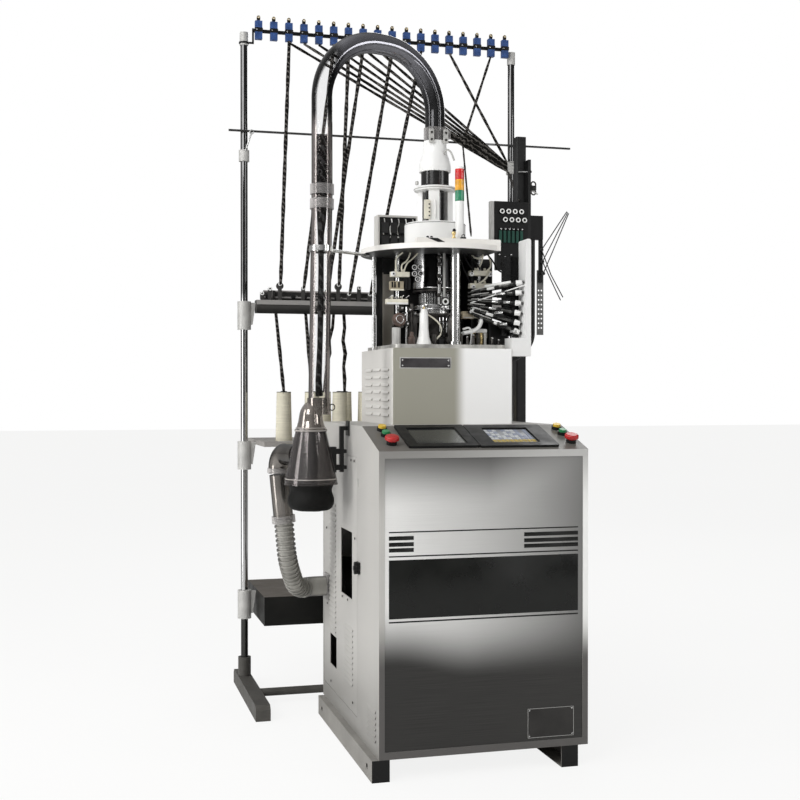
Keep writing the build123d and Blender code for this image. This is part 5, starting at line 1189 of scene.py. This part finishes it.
def makeCreelTrim(p):
    x, y, pitch = p["frontCones"]
    rearX, rearY, rearPitch = p["rearCones"]
    cones = [(pitch * step, 0, 0) for step in range(1, 9)]
    cones += [(rearX - x + rearPitch * step, rearY - y, 0) for step in range(9)]
    rim = ringPart(blackRubber, at(x, y, p["coneTop"] - 0.8), upright, p["coneTip"] - 0.8, 1.5, 28, 6)
    core = turned(blackPlastic, ((0, 11), (2, 11.5), (3, 9.2)), at(x, y, p["coneTop"]), sides=20, edge=0.2)
    gather("cone_rims", copies(rim, cones) + copies(core, cones))

    first, pitch, count = p["tensioners"]
    others = [(pitch * step, 0, 0) for step in range(1, count)]
    eye = ringPart(brass, at(first, *p["eye"]), toFront, 3.6, 1.2, 16, 6)
    screw = turned(machined, ((0, 3), (1.6, 2.6)), at(*p["tensionerScrew"]), toFront, 12, 0.1)
    gather("tensioner_eyes", copies(eye, others) + copies(screw, others))

    posts = [(x, 0, height) for x, height in p["posts"]]
    x, y, height = posts[0]
    eyelet = ringPart(whitePlastic, at(x, 1102.4, 1376 + height), toFront, 5, 1.9, 18, 6)
    disc = turned(blackPlastic, ((0, 8), (1.5, 8.4), (3, 7)), at(x + 22, 1122, 1397), toFront, 20, 0.2)
    parts = copies(eyelet, steps(posts)) + copies(disc, [(across, 0, 0) for across in p["discs"]])
    parts += studs(machined, ((0, 2.6), (2, 2.2)), [(x, 1131, 1400) for x in p["rodScrews"]], edge=0.1)
    gather("guide_eyelets", parts)

    # stay rod at the left clip, hooks at the right one
    start, end = p["stay"]
    parts = [bar(machined, at(*start), at(*end), 2.6), ringPart(machined, at(*p["stayEye"]), toFront, 7, 2, 18)]
    parts.append(cutSheet(lightMetal, p["clip"], (1104, 1108), 1))
    hooks = [(770, 1106, z) for z in p["hooks"]]
    x, y, z = hooks[0]
    parts += copies(bar(machined, at(x, y, z), at(x + 42, y - 6, z + 6), 1.8, 10), steps(hooks))
    gather("rod_clips", parts)


makeCreelTrim(creelTrim)

yarnRuns = {
    "risers": ((2, 2), (3, 5), (4, 7), (5, 6), (6, 9), (8, 11)), "riserFoot": (1095, 1376),
    "bundle": (2, 3, 4, 5, 6, 7, 8, 13), "clip": (772.5, 1108, 1880), "clipPitch": 4.2,
    "top": 2304, "front": 1107, "rear": 1119, "shelf": (1125, 1337),
    "long": ((601, 1124, 1980), (378, 352, 1534)), "feeder": ((774, 1108, 1878), (662, 690, 1701)),
    "drops": (((-85, 1034, 1058), -98), ((15, 1034, 1058), 10), ((98, 1232, 1058), 112), ((176, 1232, 1058), 150)),
    "thick": 6.6, "bundled": 5, "thin": 3.2,
}


def strand(start, end, radius, wave=0.0):
    # a spun yarn, uneven in thickness, that may kink a little on its way
    start, end = Vector(start), Vector(end)
    count = max(4, int((end - start).length / 45))
    points, widths = [], []
    for step in range(count + 1):
        part = step / count
        spotOn = start.lerp(end, part)
        swing = math.sin(part * math.pi)
        points.append(at(spotOn.x + wave * swing * math.sin(part * 17), spotOn.y, spotOn.z))
        widths.append(1 + 0.14 * math.sin(step * 2.4) - 0.25 * (part in (0, 1)))
    return wire(yarnBlack, points, radius, straight=True, sides=1, widths=widths)


def makeYarnRuns(p, posts, firstHook, pitch):
    parts = []
    y, z = p["riserFoot"]
    for post, hook in p["risers"]:
        x, height = posts[post]
        parts.append(strand((x, y, z + height), (firstHook + pitch * hook, p["front"], p["top"]), p["thick"]))
    x, y, z = p["clip"]
    for order, hook in enumerate(p["bundle"]):
        start = (firstHook + pitch * hook, p["front"] if hook == 13 else p["rear"], p["top"] - 1)
        parts.append(strand(start, (x, y, z + p["clipPitch"] * order), p["bundled"]))
    rod, plate = p["long"]
    parts.append(strand((firstHook + pitch * 16, p["rear"], p["top"]), rod, p["bundled"]))
    parts.append(strand(rod, plate, p["thin"]))
    parts.append(strand(*p["feeder"], p["bundled"]))
    for place, x in p["drops"]:
        parts.append(strand(place, (x, *p["shelf"]), p["thick"], wave=5 if x > 100 else 0))
    gather("yarn_runs", parts, replaces=("yarns",))


makeYarnRuns(yarnRuns, creelTrim["posts"], *creelTrim["tensioners"][:2])
print("yarn stand dressed")

# ---- floor and light
studio = {
    "floor": (0.8, 0.8, 0.795), "horizon": 0.2, "zenith": 0.9, "shade": 0.3, "glow": 0.86,
    "lamps": (
        ("keyLight", 105, (2.4, 2.4), (-3.4, -3.4, 3.8), (0, 0, 1)),
        ("fillLight", 36, (1.2, 1.6), (3.6, -3.4, 2.4), (0, 0, 1)),
        ("leftStrip", 58, (1.0, 3.4), (-3.6, -0.6, 1.6), (0, 0, 1.5)),
        ("rightStrip", 14, (0.3, 3.2), (1.9, -4.4, 1.8), (0, 0, 1.5)),
        ("rimLight", 40, (2.0, 2.0), (1.8, 3.6, 3.8), (0, 0, 1)),
    ),
}


def makeStudio(p):
    deselect()
    bpy.ops.mesh.primitive_plane_add(size=60, location=(0, 0, 0))
    # the floor shows as white paper to the camera and still takes the machine's soft shadow
    floorFinish = finish("studioFloor", p["floor"], 0.8, uneven=0.004, scale=0.5, bump=0)
    tree = floorFinish.node_tree
    output = tree.nodes["Material Output"]
    glow = addNode(tree, "ShaderNodeEmission")
    glow.inputs[0].default_value = (1, 1, 0.995, 1)
    path = addNode(tree, "ShaderNodeLightPath")
    blend = addNode(tree, "ShaderNodeMixShader")
    tree.links.new(addMath(tree, "MULTIPLY", path.outputs["Is Camera Ray"], p["glow"]), blend.inputs[0])
    tree.links.new(tree.nodes["Principled BSDF"].outputs[0], blend.inputs[1])
    tree.links.new(glow.outputs[0], blend.inputs[2])
    tree.links.new(blend.outputs[0], output.inputs[0])
    floor = settle(floorFinish)
    floor.name = "studio_floor"
    # white backdrop, which lights less from below and from the right
    world = bpy.data.worlds.new("studioWorld")
    scene.world = world
    world.use_nodes = True
    tree = world.node_tree
    sky = tree.nodes["Background"]
    height = along(tree, "Z", "Generated")
    dim = ramp(tree, height, -0.1, 0.9, p["horizon"], p["zenith"])
    side = ramp(tree, along(tree, "X", "Generated"), -0.5, 0.5, 1, p["shade"])
    dim = addMath(tree, "MULTIPLY", dim, side)
    path = addNode(tree, "ShaderNodeLightPath")
    strength = addNode(tree, "ShaderNodeMix")
    tree.links.new(path.outputs["Is Camera Ray"], strength.inputs[0])
    tree.links.new(dim, strength.inputs[2])
    strength.inputs[3].default_value = 1
    sky.inputs[0].default_value = (1, 1, 1, 1)
    tree.links.new(strength.outputs[0], sky.inputs[1])
    for name, power, size, place, aim in p["lamps"]:
        bpy.ops.object.light_add(type="AREA", location=place)
        lamp = bpy.context.object
        lamp.name = name
        lamp.data.energy = power
        lamp.data.shape = "RECTANGLE"
        lamp.data.size, lamp.data.size_y = size
        lamp.visible_camera = False
        lamp.rotation_euler = (Vector(aim) - Vector(place)).to_track_quat("-Z", "Y").to_euler()
    scene.view_settings.view_transform = "Standard"


makeStudio(studio)
print("studio lit")
